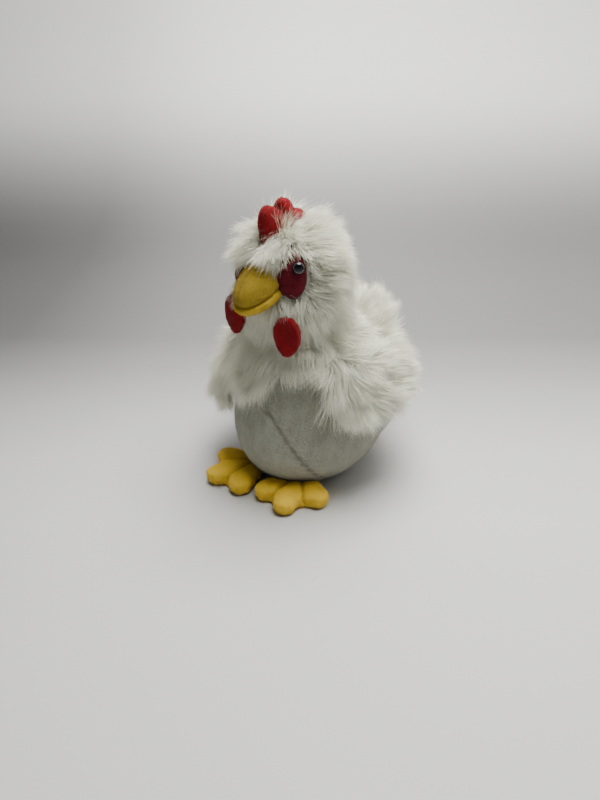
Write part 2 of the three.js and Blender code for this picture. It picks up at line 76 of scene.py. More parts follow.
# The belly's front seam starts left of the middle and leans over as it rises.
SEAM_FOOT, SEAM_LEAN, SEAM_RISE = 42.0, 66.0, 105.0
PATCH_TURN, PATCH_HEIGHT, PATCH_WIDE, PATCH_HIGH = 41, 212, 17.5, 20
BREAST_BACK = -18
CROWN_HALF = 13
RUMP_HALF = 45
FACE_MIDDLE = np.array((0.0, -62.0, 203.0))  # the fur of the head lies away from here
EYE_ROOT = np.array((0.0, -15.0, 200.0))
EYE_WAY = (33.0, -30.0, 18.0)  # from the root to the left eye
BEAK_MIDDLE = np.array((1.7, -46.0, 203.5))
BEAK_DROOP = math.radians(26)
TAIL_PIVOT = np.array((0.0, 80.0, 98.0))
TAIL_LIFT = math.radians(42)
TOES = ((0, 41), (-42, 36), (50, 31))  # turn in degrees and length
TOE_RADIUS = 11
FOOT_HEEL = {"left": (22, -42), "right": (28, -44)}
FOOT_SPLAY = {"left": 13, "right": 30}
SIDES = (("left", 1), ("right", -1))


class Sections:
    """A stuffed form given by oval sections up its height."""

    def __init__(self, rows):
        rows = np.array(rows, float)
        padded = np.vstack((2 * rows[0] - rows[1], rows, 2 * rows[-1] - rows[-2]))
        steps = np.linspace(0, len(rows) - 1, 400)
        index = np.minimum(steps.astype(int), len(rows) - 2)
        t = (steps - index)[:, None]
        a, b, c, d = (padded[index + k] for k in range(4))
        self.rows = 0.5 * (2 * b + (c - a) * t + (2 * a - 5 * b + 4 * c - d) * t**2
                           + (3 * b - a - 3 * c + d) * t**3)
        self.rows[:, 0] = np.maximum.accumulate(self.rows[:, 0])
        rise = np.gradient(self.rows[:, 0])
        run = np.gradient(self.rows[:, 1:3].mean(axis=1))
        length = np.hypot(rise, run) + 1e-9
        self.out, self.up = rise / length, -run / length

    def at(self, z):
        z = np.asarray(z, float)
        columns = [*self.rows[:, 1:].T, self.out, self.up]
        return [np.interp(z, self.rows[:, 0], column) for column in columns]

    def point(self, turn, z, lift=0):
        """Points at a turn from +X and a height, lifted off the surface along its normal."""
        rx, ry, cy, out, up = self.at(z)
        x = (rx + lift * out) * np.cos(turn)
        y = cy + (ry + lift * out) * np.sin(turn)
        return np.stack(np.broadcast_arrays(x, y, z + lift * up), axis=-1)

    def beside(self, y, z, sign, lift=0):
        """The point of the side wall with this y and z."""
        _, ry, cy, _, _ = self.at(z)
        turn = np.arcsin(np.clip((y - cy) / ry, -0.97, 0.97))
        return self.point(turn if sign > 0 else np.pi - turn, z, lift)

    def underside(self, x, y):
        """The height at which the lower half of the form covers a point of the floor."""
        lower = self.rows[: np.argmax(self.rows[:, 1]) + 1]
        inside = ((x[:, None] / lower[:, 1]) ** 2 + ((y[:, None] - lower[:, 3]) / lower[:, 2]) ** 2) < 1
        first = np.where(inside.any(axis=1), inside.argmax(axis=1), len(lower) - 1)
        return np.where(inside.any(axis=1), lower[first, 0], 1e3)


TORSO = Sections(TORSO_SECTIONS)
HEAD = Sections(HEAD_SECTIONS)


def from_head(points):
    """Points given from the neck's axis, facing straight ahead, put where the head really is."""
    points = np.asarray(points, float)
    cos, sin = math.cos(HEAD_YAW), math.sin(HEAD_YAW)
    x, y = points[..., 0], points[..., 1]
    return np.stack((x * cos - y * sin, x * sin + y * cos, points[..., 2]), axis=-1) + NECK_AXIS


def to_head(points):
    """The opposite of from_head."""
    p = np.asarray(points, float) - NECK_AXIS
    cos, sin = math.cos(HEAD_YAW), math.sin(HEAD_YAW)
    x, y = p[..., 0], p[..., 1]
    return np.stack((x * cos + y * sin, y * cos - x * sin, p[..., 2]), axis=-1)


def head_way(vectors):
    """Directions given in the head's own frame."""
    return from_head(np.asarray(vectors, float)) - NECK_AXIS


def unit(vectors):
    return vectors / (np.linalg.norm(vectors, axis=-1, keepdims=True) + 1e-9)


def smooth(value, low, high):
    t = np.clip((value - low) / (high - low), 0, 1)
    return t * t * (3 - 2 * t)


# ------------------------------------------------------------------ nodes, written as sums
class Wire:
    """The output of a node, with Python's own signs for sums."""

    def __init__(self, tree, socket):
        self.tree, self.socket = tree, socket

    @property
    def is_vector(self):
        return self.socket.type in {"VECTOR", "RGBA"}

    def scalar(self, operation, *others):
        inputs = dict(enumerate((self, *others)))
        return node(self.tree, "ShaderNodeMath", {"operation": operation}, inputs)

    def vector(self, operation, *others, out=0):
        inputs = dict(enumerate((self, *others)))
        return node(self.tree, "ShaderNodeVectorMath", {"operation": operation}, inputs, out)

    def __add__(self, other):
        return self.vector("ADD", other) if self.is_vector else self.scalar("ADD", other)

    def __sub__(self, other):
        return self.vector("SUBTRACT", other) if self.is_vector else self.scalar("SUBTRACT", other)

    def __rsub__(self, other):
        return node(self.tree, "ShaderNodeMath", {"operation": "SUBTRACT"}, {0: other, 1: self})

    def __mul__(self, other):
        if not self.is_vector:
            return self.scalar("MULTIPLY", other)
        if isinstance(other, tuple) or (isinstance(other, Wire) and other.is_vector):
            return self.vector("MULTIPLY", other)
        inputs = {0: self, "Scale": other}
        return node(self.tree, "ShaderNodeVectorMath", {"operation": "SCALE"}, inputs)

    __radd__ = __add__
    __rmul__ = __mul__

    def power(self, exponent):
        return self.scalar("POWER", exponent)

    def unit(self):
        return self.vector("NORMALIZE")

    def cross(self, other):
        return self.vector("CROSS_PRODUCT", other)

    def eased(self, low, high, start=0.0, end=1.0):
        """A smooth step from start to end, as this goes from low to high."""
        inputs = {0: self, 1: low, 2: high, 3: start, 4: end}
        return node(self.tree, "ShaderNodeMapRange", {"interpolation_type": "SMOOTHSTEP"}, inputs)


def node(tree, kind, settings=(), inputs=(), out=0):
    """Adds a node, sets it, fills its sockets with values or wires, and gives one output as a Wire."""
    made = tree.nodes.new(kind)
    for name, value in dict(settings).items():
        setattr(made, name, value)
    for key, value in dict(inputs).items():
        if isinstance(value, Wire):
            tree.links.new(value.socket, made.inputs[key])
        else:
            made.inputs[key].default_value = value
    return Wire(tree, made.outputs[out])


def blend_colours(tree, factor, first, second):
    settings = {"data_type": "RGBA"}
    return node(tree, "ShaderNodeMix", settings, {0: factor, 6: first, 7: second}, 2)


def material(name, paint, **constants):
    """A material whose paint function returns the wires for its varying sockets."""
    made = bpy.data.materials.new(name)
    made.use_nodes = True
    tree = made.node_tree
    shader = tree.nodes["Principled BSDF"]
    for socket, value in constants.items():
        shader.inputs[socket.replace("_", " ")].default_value = value
    for socket, wire in paint(tree).items():
        tree.links.new(wire.socket, shader.inputs[socket])
    return made


def noise(tree, place, scale, detail=3.0, out=0):
    return node(tree, "ShaderNodeTexNoise", {}, {"Vector": place, "Scale": scale, "Detail": detail}, out)


def own_place(tree):
    return node(tree, "ShaderNodeTexCoord", out="Object")


def own_value(tree, name):
    return node(tree, "ShaderNodeAttribute", {"attribute_name": name}, out="Fac")


def bump(tree, height, strength, distance):
    return node(tree, "ShaderNodeBump", {}, {"Strength": strength, "Distance": distance, "Height": height})


def rgba(colour, factor=1.0):
    return (*(channel * factor for channel in colour[:3]), 1.0)


def velour(name, colour, shade, sheen=0.35, roughness=0.85):
    """Short-pile cloth: a mottled nap, strokes where it was brushed, and painted shade in its seam grooves.
    """

    def paint(tree):
        place = own_place(tree)
        nap = noise(tree, place, 620.0, 4.0)
        strokes = noise(tree, place * (1.0, 1.0, 0.5), 110.0, 3.0)
        patches = noise(tree, place, 22.0, 2.0)
        depth = nap * 0.45 + strokes * 0.35 + patches * 0.4
        base = blend_colours(tree, depth.eased(0.42, 0.78), rgba(shade), rgba(colour))
        seam = own_value(tree, "seam")
        # Painted shade: darker where the seam attribute marks a groove.
        tint = blend_colours(tree, seam * 0.7, base, rgba(shade, 0.6))
        return {
            "Base Color": tint,
            "Roughness": nap * 0.2 + (roughness - 0.1),
            "Normal": bump(tree, nap * 0.7 + strokes * 0.3, 0.5, 0.0006),
        }

    return material(name, paint, Sheen_Weight=sheen, Sheen_Roughness=0.45, Specular_IOR_Level=0.25)


def fur_finish(name, root, tip, sheen=0.2):
    """Strands that are darker at the root, each with its own tone."""

    def paint(tree):
        reach = own_value(tree, "reach")
        tone = own_value(tree, "tone")
        patches = noise(tree, own_place(tree), 28.0, 2.0)
        along = blend_colours(tree, reach.eased(0.0, 0.55), rgba(root), rgba(tip))
        tint = blend_colours(tree, (tone * 0.5 + patches * 0.5).eased(0.3, 0.8) * 0.3, along, rgba(root))
        return {"Base Color": tint, "Roughness": tone * 0.2 + 0.55}

    return material(name, paint, Sheen_Weight=sheen, Specular_IOR_Level=0.3)


def plain_fibre(name, colour, scale):
    """Loose or woven filling, seen only where a seam is opened."""

    def paint(tree):
        wad = noise(tree, own_place(tree), scale, 5.0)
        base = blend_colours(tree, wad.eased(0.35, 0.7), rgba(colour, 0.8), rgba(colour))
        return {"Base Color": base, "Normal": bump(tree, wad, 0.6, 0.001)}

    return material(name, paint, Roughness=0.9)


# ------------------------------------------------------------------ meshes
def new_piece(name, points, faces):
    """A mesh object from points in millimetres."""
    mesh = bpy.data.meshes.new(name)
    mesh.from_pydata(np.asarray(points, float).reshape(-1, 3) * MM, [], faces)
    mesh.update()
    piece = bpy.data.objects.new(name, mesh)
    bpy.context.scene.collection.objects.link(piece)
    return piece


def net(rows, columns, closed=False):
    """Four-sided faces over rows of points. A closed net joins each row's end to its start."""
    return [(r * columns + c, r * columns + (c + 1) % columns,
             (r + 1) * columns + (c + 1) % columns, (r + 1) * columns + c)
            for r in range(rows - 1) for c in range(columns if closed else columns - 1)]


def around(count):
    """Turns, evenly spread once round."""
    return np.linspace(0, 2 * np.pi, count, endpoint=False)


def everywhere(points):
    return np.ones(len(points), bool)


def closed_rings(name, rings):
    """A closed form from rings of points, bottom to top, with a fan over each end."""
    rings = np.asarray(rings, float)
    rows, columns = rings.shape[:2]
    points = np.vstack((rings.reshape(-1, 3), rings[0].mean(axis=0), rings[-1].mean(axis=0)))
    faces = net(rows, columns, closed=True)
    low, high = rows * columns, rows * columns + 1
    top = (rows - 1) * columns
    for column in range(columns):
        after = (column + 1) % columns
        faces.append((after, column, low))
        faces.append((top + column, top + after, high))
    return new_piece(name, points, faces)


def places(mesh):
    found = np.empty(len(mesh.vertices) * 3)
    mesh.vertices.foreach_get("co", found)
    return found.reshape(-1, 3) / MM


def normals(mesh):
    found = np.empty(len(mesh.vertices) * 3)
    mesh.vertices.foreach_get("normal", found)
    return found.reshape(-1, 3)


def move_to(mesh, points):
    mesh.vertices.foreach_set("co", (np.asarray(points) * MM).ravel())
    mesh.update()


def write(mesh, name, values):
    values = np.asarray(values, float)
    kind = "FLOAT_VECTOR" if values.ndim == 2 else "FLOAT"
    attribute = mesh.attributes.get(name) or mesh.attributes.new(name, kind, "POINT")
    attribute.data.foreach_set("vector" if values.ndim == 2 else "value", values.ravel())


def baked(piece):
    """The piece's mesh with its modifiers applied, and the modifiers gone."""
    graph = bpy.context.evaluated_depsgraph_get()
    mesh = bpy.data.meshes.new_from_object(piece.evaluated_get(graph))
    piece.modifiers.clear()
    piece.data = mesh
    mesh.name = piece.name
    return piece


def remeshed(piece, voxel):
    modifier = piece.modifiers.new("even", "REMESH")
    modifier.mode, modifier.voxel_size = "VOXEL", voxel * MM
    return baked(piece)


def softened(piece, times, factor=0.5):
    modifier = piece.modifiers.new("soften", "SMOOTH")
    modifier.iterations, modifier.factor = times, factor
    return baked(piece)


def divided(piece, levels=1):
    modifier = piece.modifiers.new("divide", "SUBSURF")
    modifier.levels = modifier.render_levels = levels
    return baked(piece)


def stuffed(piece, voxel, most, pressure=4.0, levels=1, stiffness=8.0):
    """Fills a closed cloth form: it swells under pressure, and no point moves further than most."""
    remeshed(piece, voxel)
    scene = bpy.context.scene
    before = places(piece.data)
    cloth = piece.modifiers.new("stuffing", "CLOTH")
    cloth.settings.use_pressure = True
    cloth.settings.uniform_pressure_force = pressure
    cloth.settings.effector_weights.gravity = 0
    cloth.settings.tension_stiffness = cloth.settings.compression_stiffness = stiffness
    cloth.settings.quality = 4
    cloth.point_cache.frame_start, cloth.point_cache.frame_end = 1, 20
    for number in range(1, 21):
        scene.frame_set(number)
    after = places(piece.evaluated_get(bpy.context.evaluated_depsgraph_get()).data)
    piece.modifiers.clear()
    scene.frame_set(1)
    step = after - before
    length = np.linalg.norm(step, axis=1, keepdims=True) + 1e-9
    move_to(piece.data, before + step * np.minimum(1, most / length))
    softened(piece, 2)
    return divided(piece, levels)


def creased(piece, distances, depth, width):
    """Pulls the cloth in along its seams. distances gives how far each point is from the nearest seam. The
    groove is also written as the seam attribute, which the velour finish darkens as painted shade.
    """
    points = places(piece.data)
    groove = np.exp(-((distances(points) / width) ** 2))
    move_to(piece.data, points - normals(piece.data) * (depth * groove)[:, None])
    # The groove, written as seam, becomes painted shade in the velour finish.
    write(piece.data, "seam", groove)
    return piece


def shaded(piece, *materials):
    piece.data.materials.clear()
    for made in materials:
        piece.data.materials.append(made)
    piece.data.shade_smooth()
    return piece


def cut_from(name, source, keep):
    """A copy of the faces of source whose middles keep accepts."""
    copy = source.data.copy()
    bm = bmesh.new()
    bm.from_mesh(copy)
    middles = np.array([face.calc_center_median() for face in bm.faces]) / MM
    kept = keep(middles)
    bmesh.ops.delete(bm, geom=[f for f, k in zip(bm.faces, kept) if not k], context="FACES")
    bm.to_mesh(copy)
    bm.free()
    copy.name = name
    piece = bpy.data.objects.new(name, copy)
    bpy.context.scene.collection.objects.link(piece)
    return piece


def outward(piece):
    """Turns all faces of a closed form outwards."""
    bm = bmesh.new()
    bm.from_mesh(piece.data)
    bmesh.ops.recalc_face_normals(bm, faces=bm.faces)
    bm.to_mesh(piece.data)
    bm.free()


def unseamed(piece):
    write(piece.data, "seam", np.zeros(len(piece.data.vertices)))


def dress(piece, body, slot, *nodes, fill=None):
    """Attaches a piece to the body it moves with and hides the solids it stands for. The finish given as slot
    is not used, and the fill given for a pad is not used.
    """
    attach(piece, body)
    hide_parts(*nodes)


def slab(name, outline, place, half):
    """A flat closed form of an outline, from -half to half, put in place by a function of (u, v, w)."""
    outline = np.asarray(outline, float)
    count = len(outline)
    points = [place(*uv, w) for w in (-half, half) for uv in outline]
    faces = [tuple(range(count))[::-1], tuple(range(count, 2 * count))]
    for k in range(count):
        after = (k + 1) % count
        faces.append((k, after, count + after, count + k))
    piece = new_piece(name, points, faces)
    bm = bmesh.new()
    bm.from_mesh(piece.data)
    bmesh.ops.triangulate(bm, faces=bm.faces)
    bmesh.ops.recalc_face_normals(bm, faces=bm.faces)
    bm.to_mesh(piece.data)
    bm.free()
    return piece


def curve_points(start, *segments, count=10):
    """A run of points through Bezier segments, each given by its control points and its end."""
    points = [np.array(start, float)]
    for segment in segments:
        controls = np.array([points[-1], *segment], float)
        for t in np.linspace(0, 1, count + 1)[1:]:
            row = controls
            while len(row) > 1:
                row = row[:-1] * (1 - t) + row[1:] * t
            points.append(row[0])
    return np.array(points)


# ------------------------------------------------------------------ the pile, as geometry nodes
def pile_tree():
    """Strands that stand on a cloth: from its comb, length, lift and thick attributes, each one bent."""
    tree = bpy.data.node_groups.new("Pile", "GeometryNodeTree")
    sockets = (
        ("Cloth", "NodeSocketGeometry", None), ("Density", "NodeSocketFloat", 1e6),
        ("Width", "NodeSocketFloat", 0.0004), ("Joints", "NodeSocketInt", 5),
        ("Droop", "NodeSocketFloat", 0.5), ("Stray", "NodeSocketFloat", 0.3),
        ("Lock Size", "NodeSocketFloat", 0.007), ("Lock Pull", "NodeSocketFloat", 0.5),
        ("Lock Sway", "NodeSocketFloat", 0.4), ("Frizz", "NodeSocketFloat", 0.05),
        ("Seed", "NodeSocketInt", 1), ("Finish", "NodeSocketMaterial", None),
    )
    for name, kind, value in sockets:
        socket = tree.interface.new_socket(name=name, in_out="INPUT", socket_type=kind)
        if value is not None:
            socket.default_value = value
    tree.interface.new_socket(name="Pile", in_out="OUTPUT", socket_type="NodeSocketGeometry")
    group = tree.nodes.new("NodeGroupInput")

    def given(name):
        return Wire(tree, group.outputs[name])

    def named(name, kind="FLOAT"):
        return node(tree, "GeometryNodeInputNamedAttribute", {"data_type": kind}, {"Name": name})

    def stored(geometry, name, value, kind="FLOAT_VECTOR"):
        inputs = {"Geometry": geometry, "Name": name, "Value": value}
        return node(tree, "GeometryNodeStoreNamedAttribute", {"data_type": kind}, inputs)

    def random_vector(seed):
        inputs = {0: (-1.0, -1.0, -1.0), 1: (1.0, 1.0, 1.0), "Seed": seed}
        return node(tree, "FunctionNodeRandomValue", {"data_type": "FLOAT_VECTOR"}, inputs)

    def random_number(low, high, seed):
        inputs = {2: low, 3: high, "Seed": seed}
        return node(tree, "FunctionNodeRandomValue", {"data_type": "FLOAT"}, inputs, 1)

    seed = given("Seed")
    scattered = node(
        tree, "GeometryNodeDistributePointsOnFaces", {"distribute_method": "RANDOM"},
        {"Mesh": given("Cloth"), "Density": given("Density") * named("thick"), "Seed": seed})
    normal = Wire(tree, scattered.socket.node.outputs["Normal"])
    here = node(tree, "GeometryNodeInputPosition")
    comb, length, lift = named("comb", "FLOAT_VECTOR"), named("length"), named("lift")

    # Strands of one lock lean together and towards its middle.
    cells = {"Vector": here, "Scale": given("Lock Size").power(-1.0)}
    lock_middle = node(tree, "ShaderNodeTexVoronoi", {}, cells, "Position")
    lock_random = node(tree, "ShaderNodeTexVoronoi", {}, cells, "Color") - (0.5, 0.5, 0.5)
    own_random = random_vector(seed)
    long = length * random_number(0.7, 1.1, seed + 1.0)
    start = (normal * lift + comb * (1.0 - lift) + own_random * given("Stray")
             + lock_random * given("Lock Sway")).unit()
    down = node(tree, "ShaderNodeCombineXYZ", {}, {2: given("Droop") * -1.0})
    end = (comb + normal * (lift * 0.6) + down + lock_random * (given("Lock Sway") * 2.0)
           + own_random * (given("Stray") * 0.5)).unit()
    bend = (end - start) * (long * 0.5) + (lock_middle - here) * given("Lock Pull")
    across = start.cross(random_vector(seed + 2.0)).unit() * given("Width")
    tone = random_number(0.0, 1.0, seed + 3.0)

    points = stored(scattered, "root", here)
    points = stored(points, "start", start * long)
    points = stored(points, "bend", bend)
    points = stored(points, "across", across)
    points = stored(points, "tone", tone, "FLOAT")

    blade = node(
        tree, "GeometryNodeMeshGrid", {},
        {"Size X": 1.0, "Size Y": 1.0, "Vertices X": 2, "Vertices Y": given("Joints")})
    split = node(tree, "ShaderNodeSeparateXYZ", {}, {0: here})
    beside, along = split, Wire(tree, split.socket.node.outputs[1])
    blade = stored(blade, "beside", beside, "FLOAT")
    blade = stored(blade, "reach", along + 0.5, "FLOAT")
    strands = node(tree, "GeometryNodeInstanceOnPoints", {}, {"Points": points, "Instance": blade})
    strands = node(tree, "GeometryNodeRealizeInstances", {}, {"Geometry": strands})

    reach = named("reach")
    root = named("root", "FLOAT_VECTOR")
    path = (root + named("start", "FLOAT_VECTOR") * reach + named("bend", "FLOAT_VECTOR") * (reach * reach))
    wave = (noise(tree, path, 260.0, 1.0, "Color") - (0.5, 0.5, 0.5)) * (reach * given("Frizz"))
    taper = named("beside") * (1.0 - reach * 0.85)
    path = path + wave + named("across", "FLOAT_VECTOR") * taper
    strands = node(tree, "GeometryNodeSetPosition", {}, {"Geometry": strands, "Position": path})
    strands = node(
        tree, "GeometryNodeSetMaterial", {}, {"Geometry": strands, "Material": given("Finish")})
    group_out = tree.nodes.new("NodeGroupOutput")
    tree.links.new(strands.socket, group_out.inputs[0])
    return tree


def grown(piece, tree, finish, **inputs):
    """Replaces a cloth with the pile that grows on it."""
    modifier = piece.modifiers.new("pile", "NODES")
    modifier.node_group = tree
    identifiers = {item.name: item.identifier for item in tree.interface.items_tree}
    for name, value in {"Finish": finish, **inputs}.items():
        modifier[identifiers[name.replace("_", " ")]] = value
    baked(piece)
    for name in ("root", "start", "bend", "across", "beside", "comb", "length", "lift", "thick", "seam"):
        if name in piece.data.attributes:
            piece.data.attributes.remove(piece.data.attributes[name])
    piece.data.materials.clear()
    piece.data.materials.append(finish)
    return piece


def combed(piece, direction, length, lift, thick):
    """Writes on a cloth how its pile lies: functions or values for each point and normal."""
    points, out = places(piece.data), normals(piece.data)

    def value(given):
        return given(points, out) if callable(given) else given

    way = np.broadcast_to(value(direction), points.shape)
    flat = 1.25 * (way - out * (way * out).sum(axis=1, keepdims=True))
    write(piece.data, "comb", flat / np.maximum(1, np.linalg.norm(flat, axis=1, keepdims=True)))
    for name, given in (("length", length), ("lift", lift), ("thick", thick)):
        write(piece.data, name, np.broadcast_to(value(given), len(points)) * (MM if name == "length" else 1))
    return piece


# ------------------------------------------------------------------ settings
class HenColours(bpy.types.PropertyGroup):
    """The colours of the hen's cloths and fur."""

    fur: bpy.props.FloatVectorProperty(
        name="Fur", description="Tips of the long pile", subtype="COLOR", default=(0.95, 0.945, 0.80))
    fur_root: bpy.props.FloatVectorProperty(
        name="Fur root", description="Long pile where it leaves the cloth", subtype="COLOR",
        default=(0.5, 0.49, 0.4))
    # The belly colour is the white velour darkened with painted shade. The skins under the fur share it.
    belly: bpy.props.FloatVectorProperty(
        name="Belly", description="Short-pile cloth of the belly", subtype="COLOR",
        default=(0.37, 0.37, 0.30))
    yellow: bpy.props.FloatVectorProperty(
        name="Yellow", description="Beak and feet", subtype="COLOR", default=(0.9, 0.61, 0.045))
    red: bpy.props.FloatVectorProperty(
        name="Red", description="Comb and wattles", subtype="COLOR", default=(0.31, 0.001, 0.006))
    mask: bpy.props.FloatVectorProperty(
        name="Eye patch", description="Cloth round the eyes", subtype="COLOR", default=(0.13, 0.002, 0.012))


class HenSizes(bpy.types.PropertyGroup):
    """What a user would change about the pile and the eyes."""

    fur_density: bpy.props.FloatProperty(
        name="Fur density", description="Strands on each square millimetre", default=2.3, min=0.1, max=6)
    fur_width: bpy.props.FloatProperty(
        name="Strand width", description="Width of a strand at its root", subtype="DISTANCE", default=0.00036)
    head_fur: bpy.props.FloatProperty(
        name="Head fur", description="Length of the fur on the head", subtype="DISTANCE", default=0.024)
    body_fur: bpy.props.FloatProperty(
        name="Body fur", description="Length of the fur on the breast and back", subtype="DISTANCE",
        default=0.028)
    wing_fur: bpy.props.FloatProperty(
        name="Wing fur", description="Length of the fur on the wings and tail", subtype="DISTANCE",
        default=0.030)
    short_pile: bpy.props.FloatProperty(
        name="Short pile", description="Length of the pile on beak, feet, comb and belly",
        subtype="DISTANCE", default=0.0011)
    eye: bpy.props.FloatProperty(
        name="Eye", description="Diameter of an eye", subtype="DISTANCE", default=0.0098)


class StageSettings(bpy.types.PropertyGroup):
    """The camera and the colour of the floor."""

    azimuth: bpy.props.FloatProperty(
        name="Azimuth", description="Where the camera stands, from straight ahead of the hen to its left",
        subtype="ANGLE", default=math.radians(34))
    elevation: bpy.props.FloatProperty(
        name="Elevation", description="How far the camera looks down", subtype="ANGLE",
        default=math.radians(29))
    distance: bpy.props.FloatProperty(
        name="Distance", description="From the camera to the middle of the base", subtype="DISTANCE",
        default=0.697)
    floor: bpy.props.FloatVectorProperty(
        name="Floor", description="Colour of the floor and the sweep", subtype="COLOR",
        default=(0.84, 0.84, 0.83))


class Workshop:
    """Finishes and node trees that several pieces share."""

    finishes = {}
    pile = None


def finish_of(key):
    return Workshop.finishes[key]


def strands(piece, finish, density, width, seed, **inputs):
    return grown(
        piece, Workshop.pile, finish_of(finish), Density=density * 1e6, Width=width, Seed=seed, **inputs)


def fur_inputs(sizes, **changes):
    inputs = {"Joints": 5, "Droop": 0.4, "Stray": 0.24, "Lock_Size": 0.0115, "Lock_Pull": 0.55,
              "Lock_Sway": 0.5, "Frizz": 0.006}
    inputs.update(changes)
    return {"density": sizes.fur_density, "width": sizes.fur_width, **inputs}


def fuzz(name, source, finish, body, seed, keep=None, density=1.6, length=None):
    """The short pile that stands on a velour piece."""
    sizes = bpy.context.scene.hen_sizes
    piece = cut_from(name, source, keep or everywhere)
    long = (length or sizes.short_pile) / MM
    combed(piece, (0, -0.3, -1), long, 0.7, 1)
    strands(piece, finish, density, 0.00028, seed, Joints=2, Droop=0.2, Stray=0.5, Lock_Size=0.003,
            Lock_Pull=0.1, Lock_Sway=0.3, Frizz=0.0)
    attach(piece, body)
    return piece


def fur_panel(name, source, inside, body, node_name, lie, seed, **changes):
    """A panel of long fur over part of a cloth form. lie is its way, length, lift and thickness."""
    cloth = cut_from(name + "_pile", source, inside)
    combed(cloth, *lie)
    strands(cloth, "fur", seed=seed, **fur_inputs(bpy.context.scene.hen_sizes, **changes))
    dress(cloth, body, "fur", node_name)


# ------------------------------------------------------------------ operators
class HEN_OT_finishes(bpy.types.Operator):
    """Make the cloths, the fur and the node tree of the pile"""

    bl_idname = "hen.finishes"
    bl_label = "Finishes"

    def execute(self, context):
        colours = context.scene.hen_colours
        Workshop.pile = pile_tree()
        white, yellow, red, mask = colours.belly, colours.yellow, colours.red, colours.mask
        faint = 0.05  # sheen
        Workshop.finishes = {
            "fur": fur_finish("long white fur", colours.fur_root, colours.fur),
            # Painted shade: the white velour takes the darkened belly colour.
            "belly": velour("white velour", white, rgba(white, 0.62), 0.2),
            "belly pile": fur_finish("white velour pile", colours.fur_root, white),
            "yellow": velour("yellow plush", yellow, rgba(yellow, 0.8), 0.1),
            # The beak and lip finishes are the yellow plush darkened with painted shade, the upper beak most,
            # where it lies in the shade of the brow.
            "beak": velour("beak plush", rgba(yellow, 0.46), rgba(yellow, 0.26), 0.06),
            "beak pile": fur_finish("beak plush pile", rgba(yellow, 0.3), rgba(yellow, 0.46), faint),
            "lip": velour("lip plush", rgba(yellow, 0.7), rgba(yellow, 0.42), 0.08),
            "lip pile": fur_finish("lip plush pile", rgba(yellow, 0.5), rgba(yellow, 0.7), faint),
            "yellow pile": fur_finish("yellow plush pile", rgba(yellow, 0.9), yellow, faint),
            "red": velour("red plush", red, rgba(red, 0.45), faint),
            "red pile": fur_finish("red plush pile", rgba(red, 0.6), red, faint),
            "mask": velour("dark red plush", mask, rgba(mask, 0.5), faint),
            "mask pile": fur_finish("dark red pile", rgba(mask, 0.7), rgba(mask, 1.3), faint),
            "fibre": plain_fibre("polyester fibre", (0.9, 0.9, 0.9), 120.0),
            "cotton": plain_fibre("pellet cotton", (0.78, 0.74, 0.64), 700.0),
            "tape": plain_fibre("label tape", (0.8, 0.8, 0.78), 1400.0),
        }
        return {"FINISHED"}


class HEN_OT_torso(bpy.types.Operator):
    """Sew and stuff the torso: two belly panels, the rump and the base"""

    bl_idname = "hen.torso"
    bl_label = "Torso"

    def execute(self, context):
        turns = around(72)
        heights = TORSO.rows[::9, 0]
        rings = [TORSO.point(turns, z, -1.2) for z in heights]
        rings[0][:, 2] = 0.4
        torso = closed_rings("stuffed_torso", rings)
        stuffed(torso, 5.0, 1.5, pressure=3.0, levels=2)

        def seams(points):
            x, y, z = points.T
            lean = SEAM_FOOT - SEAM_LEAN * (np.maximum(z - 10, 0) / SEAM_RISE) ** 2
            front = np.where(y < 20, 0.85 * np.abs(x - lean), 1e3)
            rump = np.where(y > 20, np.abs(np.abs(x) - RUMP_HALF), 1e3)
            under = np.hypot(np.hypot(x, y * 0.9) - 36, z * 1.5)
            return np.minimum(np.minimum(front, rump), under)

        points = places(torso.data)
        near = seams(points)
        pucker = np.exp(-((near / 7) ** 2)) * np.sin(points[:, 2] * 0.9 + points[:, 0] * 0.35)
        move_to(torso.data, points + normals(torso.data) * (0.45 * pucker)[:, None])
        creased(torso, seams, 0.8, 1.7)
        points = places(torso.data)
        points[:, 2] = np.maximum(points[:, 2], 0.2)
        move_to(torso.data, points)
        shaded(torso, finish_of("belly"))
        dress(torso, "torso", "velour", "base_panel", "belly_panel_left", "belly_panel_right", "rump_panel",
              fill=0.8)
        fuzz("belly_pile", torso, "belly pile", "torso", 11,
             keep=lambda p: (p[:, 2] > 2) & (p[:, 2] < FUR_SEAM[0] + FUR_SEAM[1] * p[:, 1] + 4), density=0.9)
        return {"FINISHED"}


class HEN_OT_body_fur(bpy.types.Operator):
    """Grow the long fur of the breast and the back"""

    bl_idname = "hen.body_fur"
    bl_label = "Breast and back fur"

    def execute(self, context):
        sizes = context.scene.hen_sizes
        torso = bpy.data.objects["stuffed_torso"]

        def furred(points):
            x, y, z = points.T
            front = smooth(-y, 0, 30)
            low = 100 + 32 * smooth(x, -18, 22)
            return z > (1 - front) * (FUR_SEAM[0] + FUR_SEAM[1] * y - 4) + front * low

        panels = {
            "breast_fur": lambda p: p[:, 1] < BREAST_BACK,
            "back_fur_left": lambda p: (p[:, 1] >= BREAST_BACK) & (p[:, 0] >= 0),
            "back_fur_right": lambda p: (p[:, 1] >= BREAST_BACK) & (p[:, 0] < 0),
        }

        def way(points, out):
            back = smooth(points[:, 1], -30, 40)[:, None]
            return (1 - back) * np.array((0, 0, -1)) + back * np.array((0, 1, -0.45))

        for number, (name, inside) in enumerate(panels.items()):
            fur_panel(name, torso, lambda p: furred(p) & inside(p) & (p[:, 2] < 145), "torso", name,
                      (way, sizes.body_fur / MM, 0.5, 1), 20 + number)
        return {"FINISHED"}


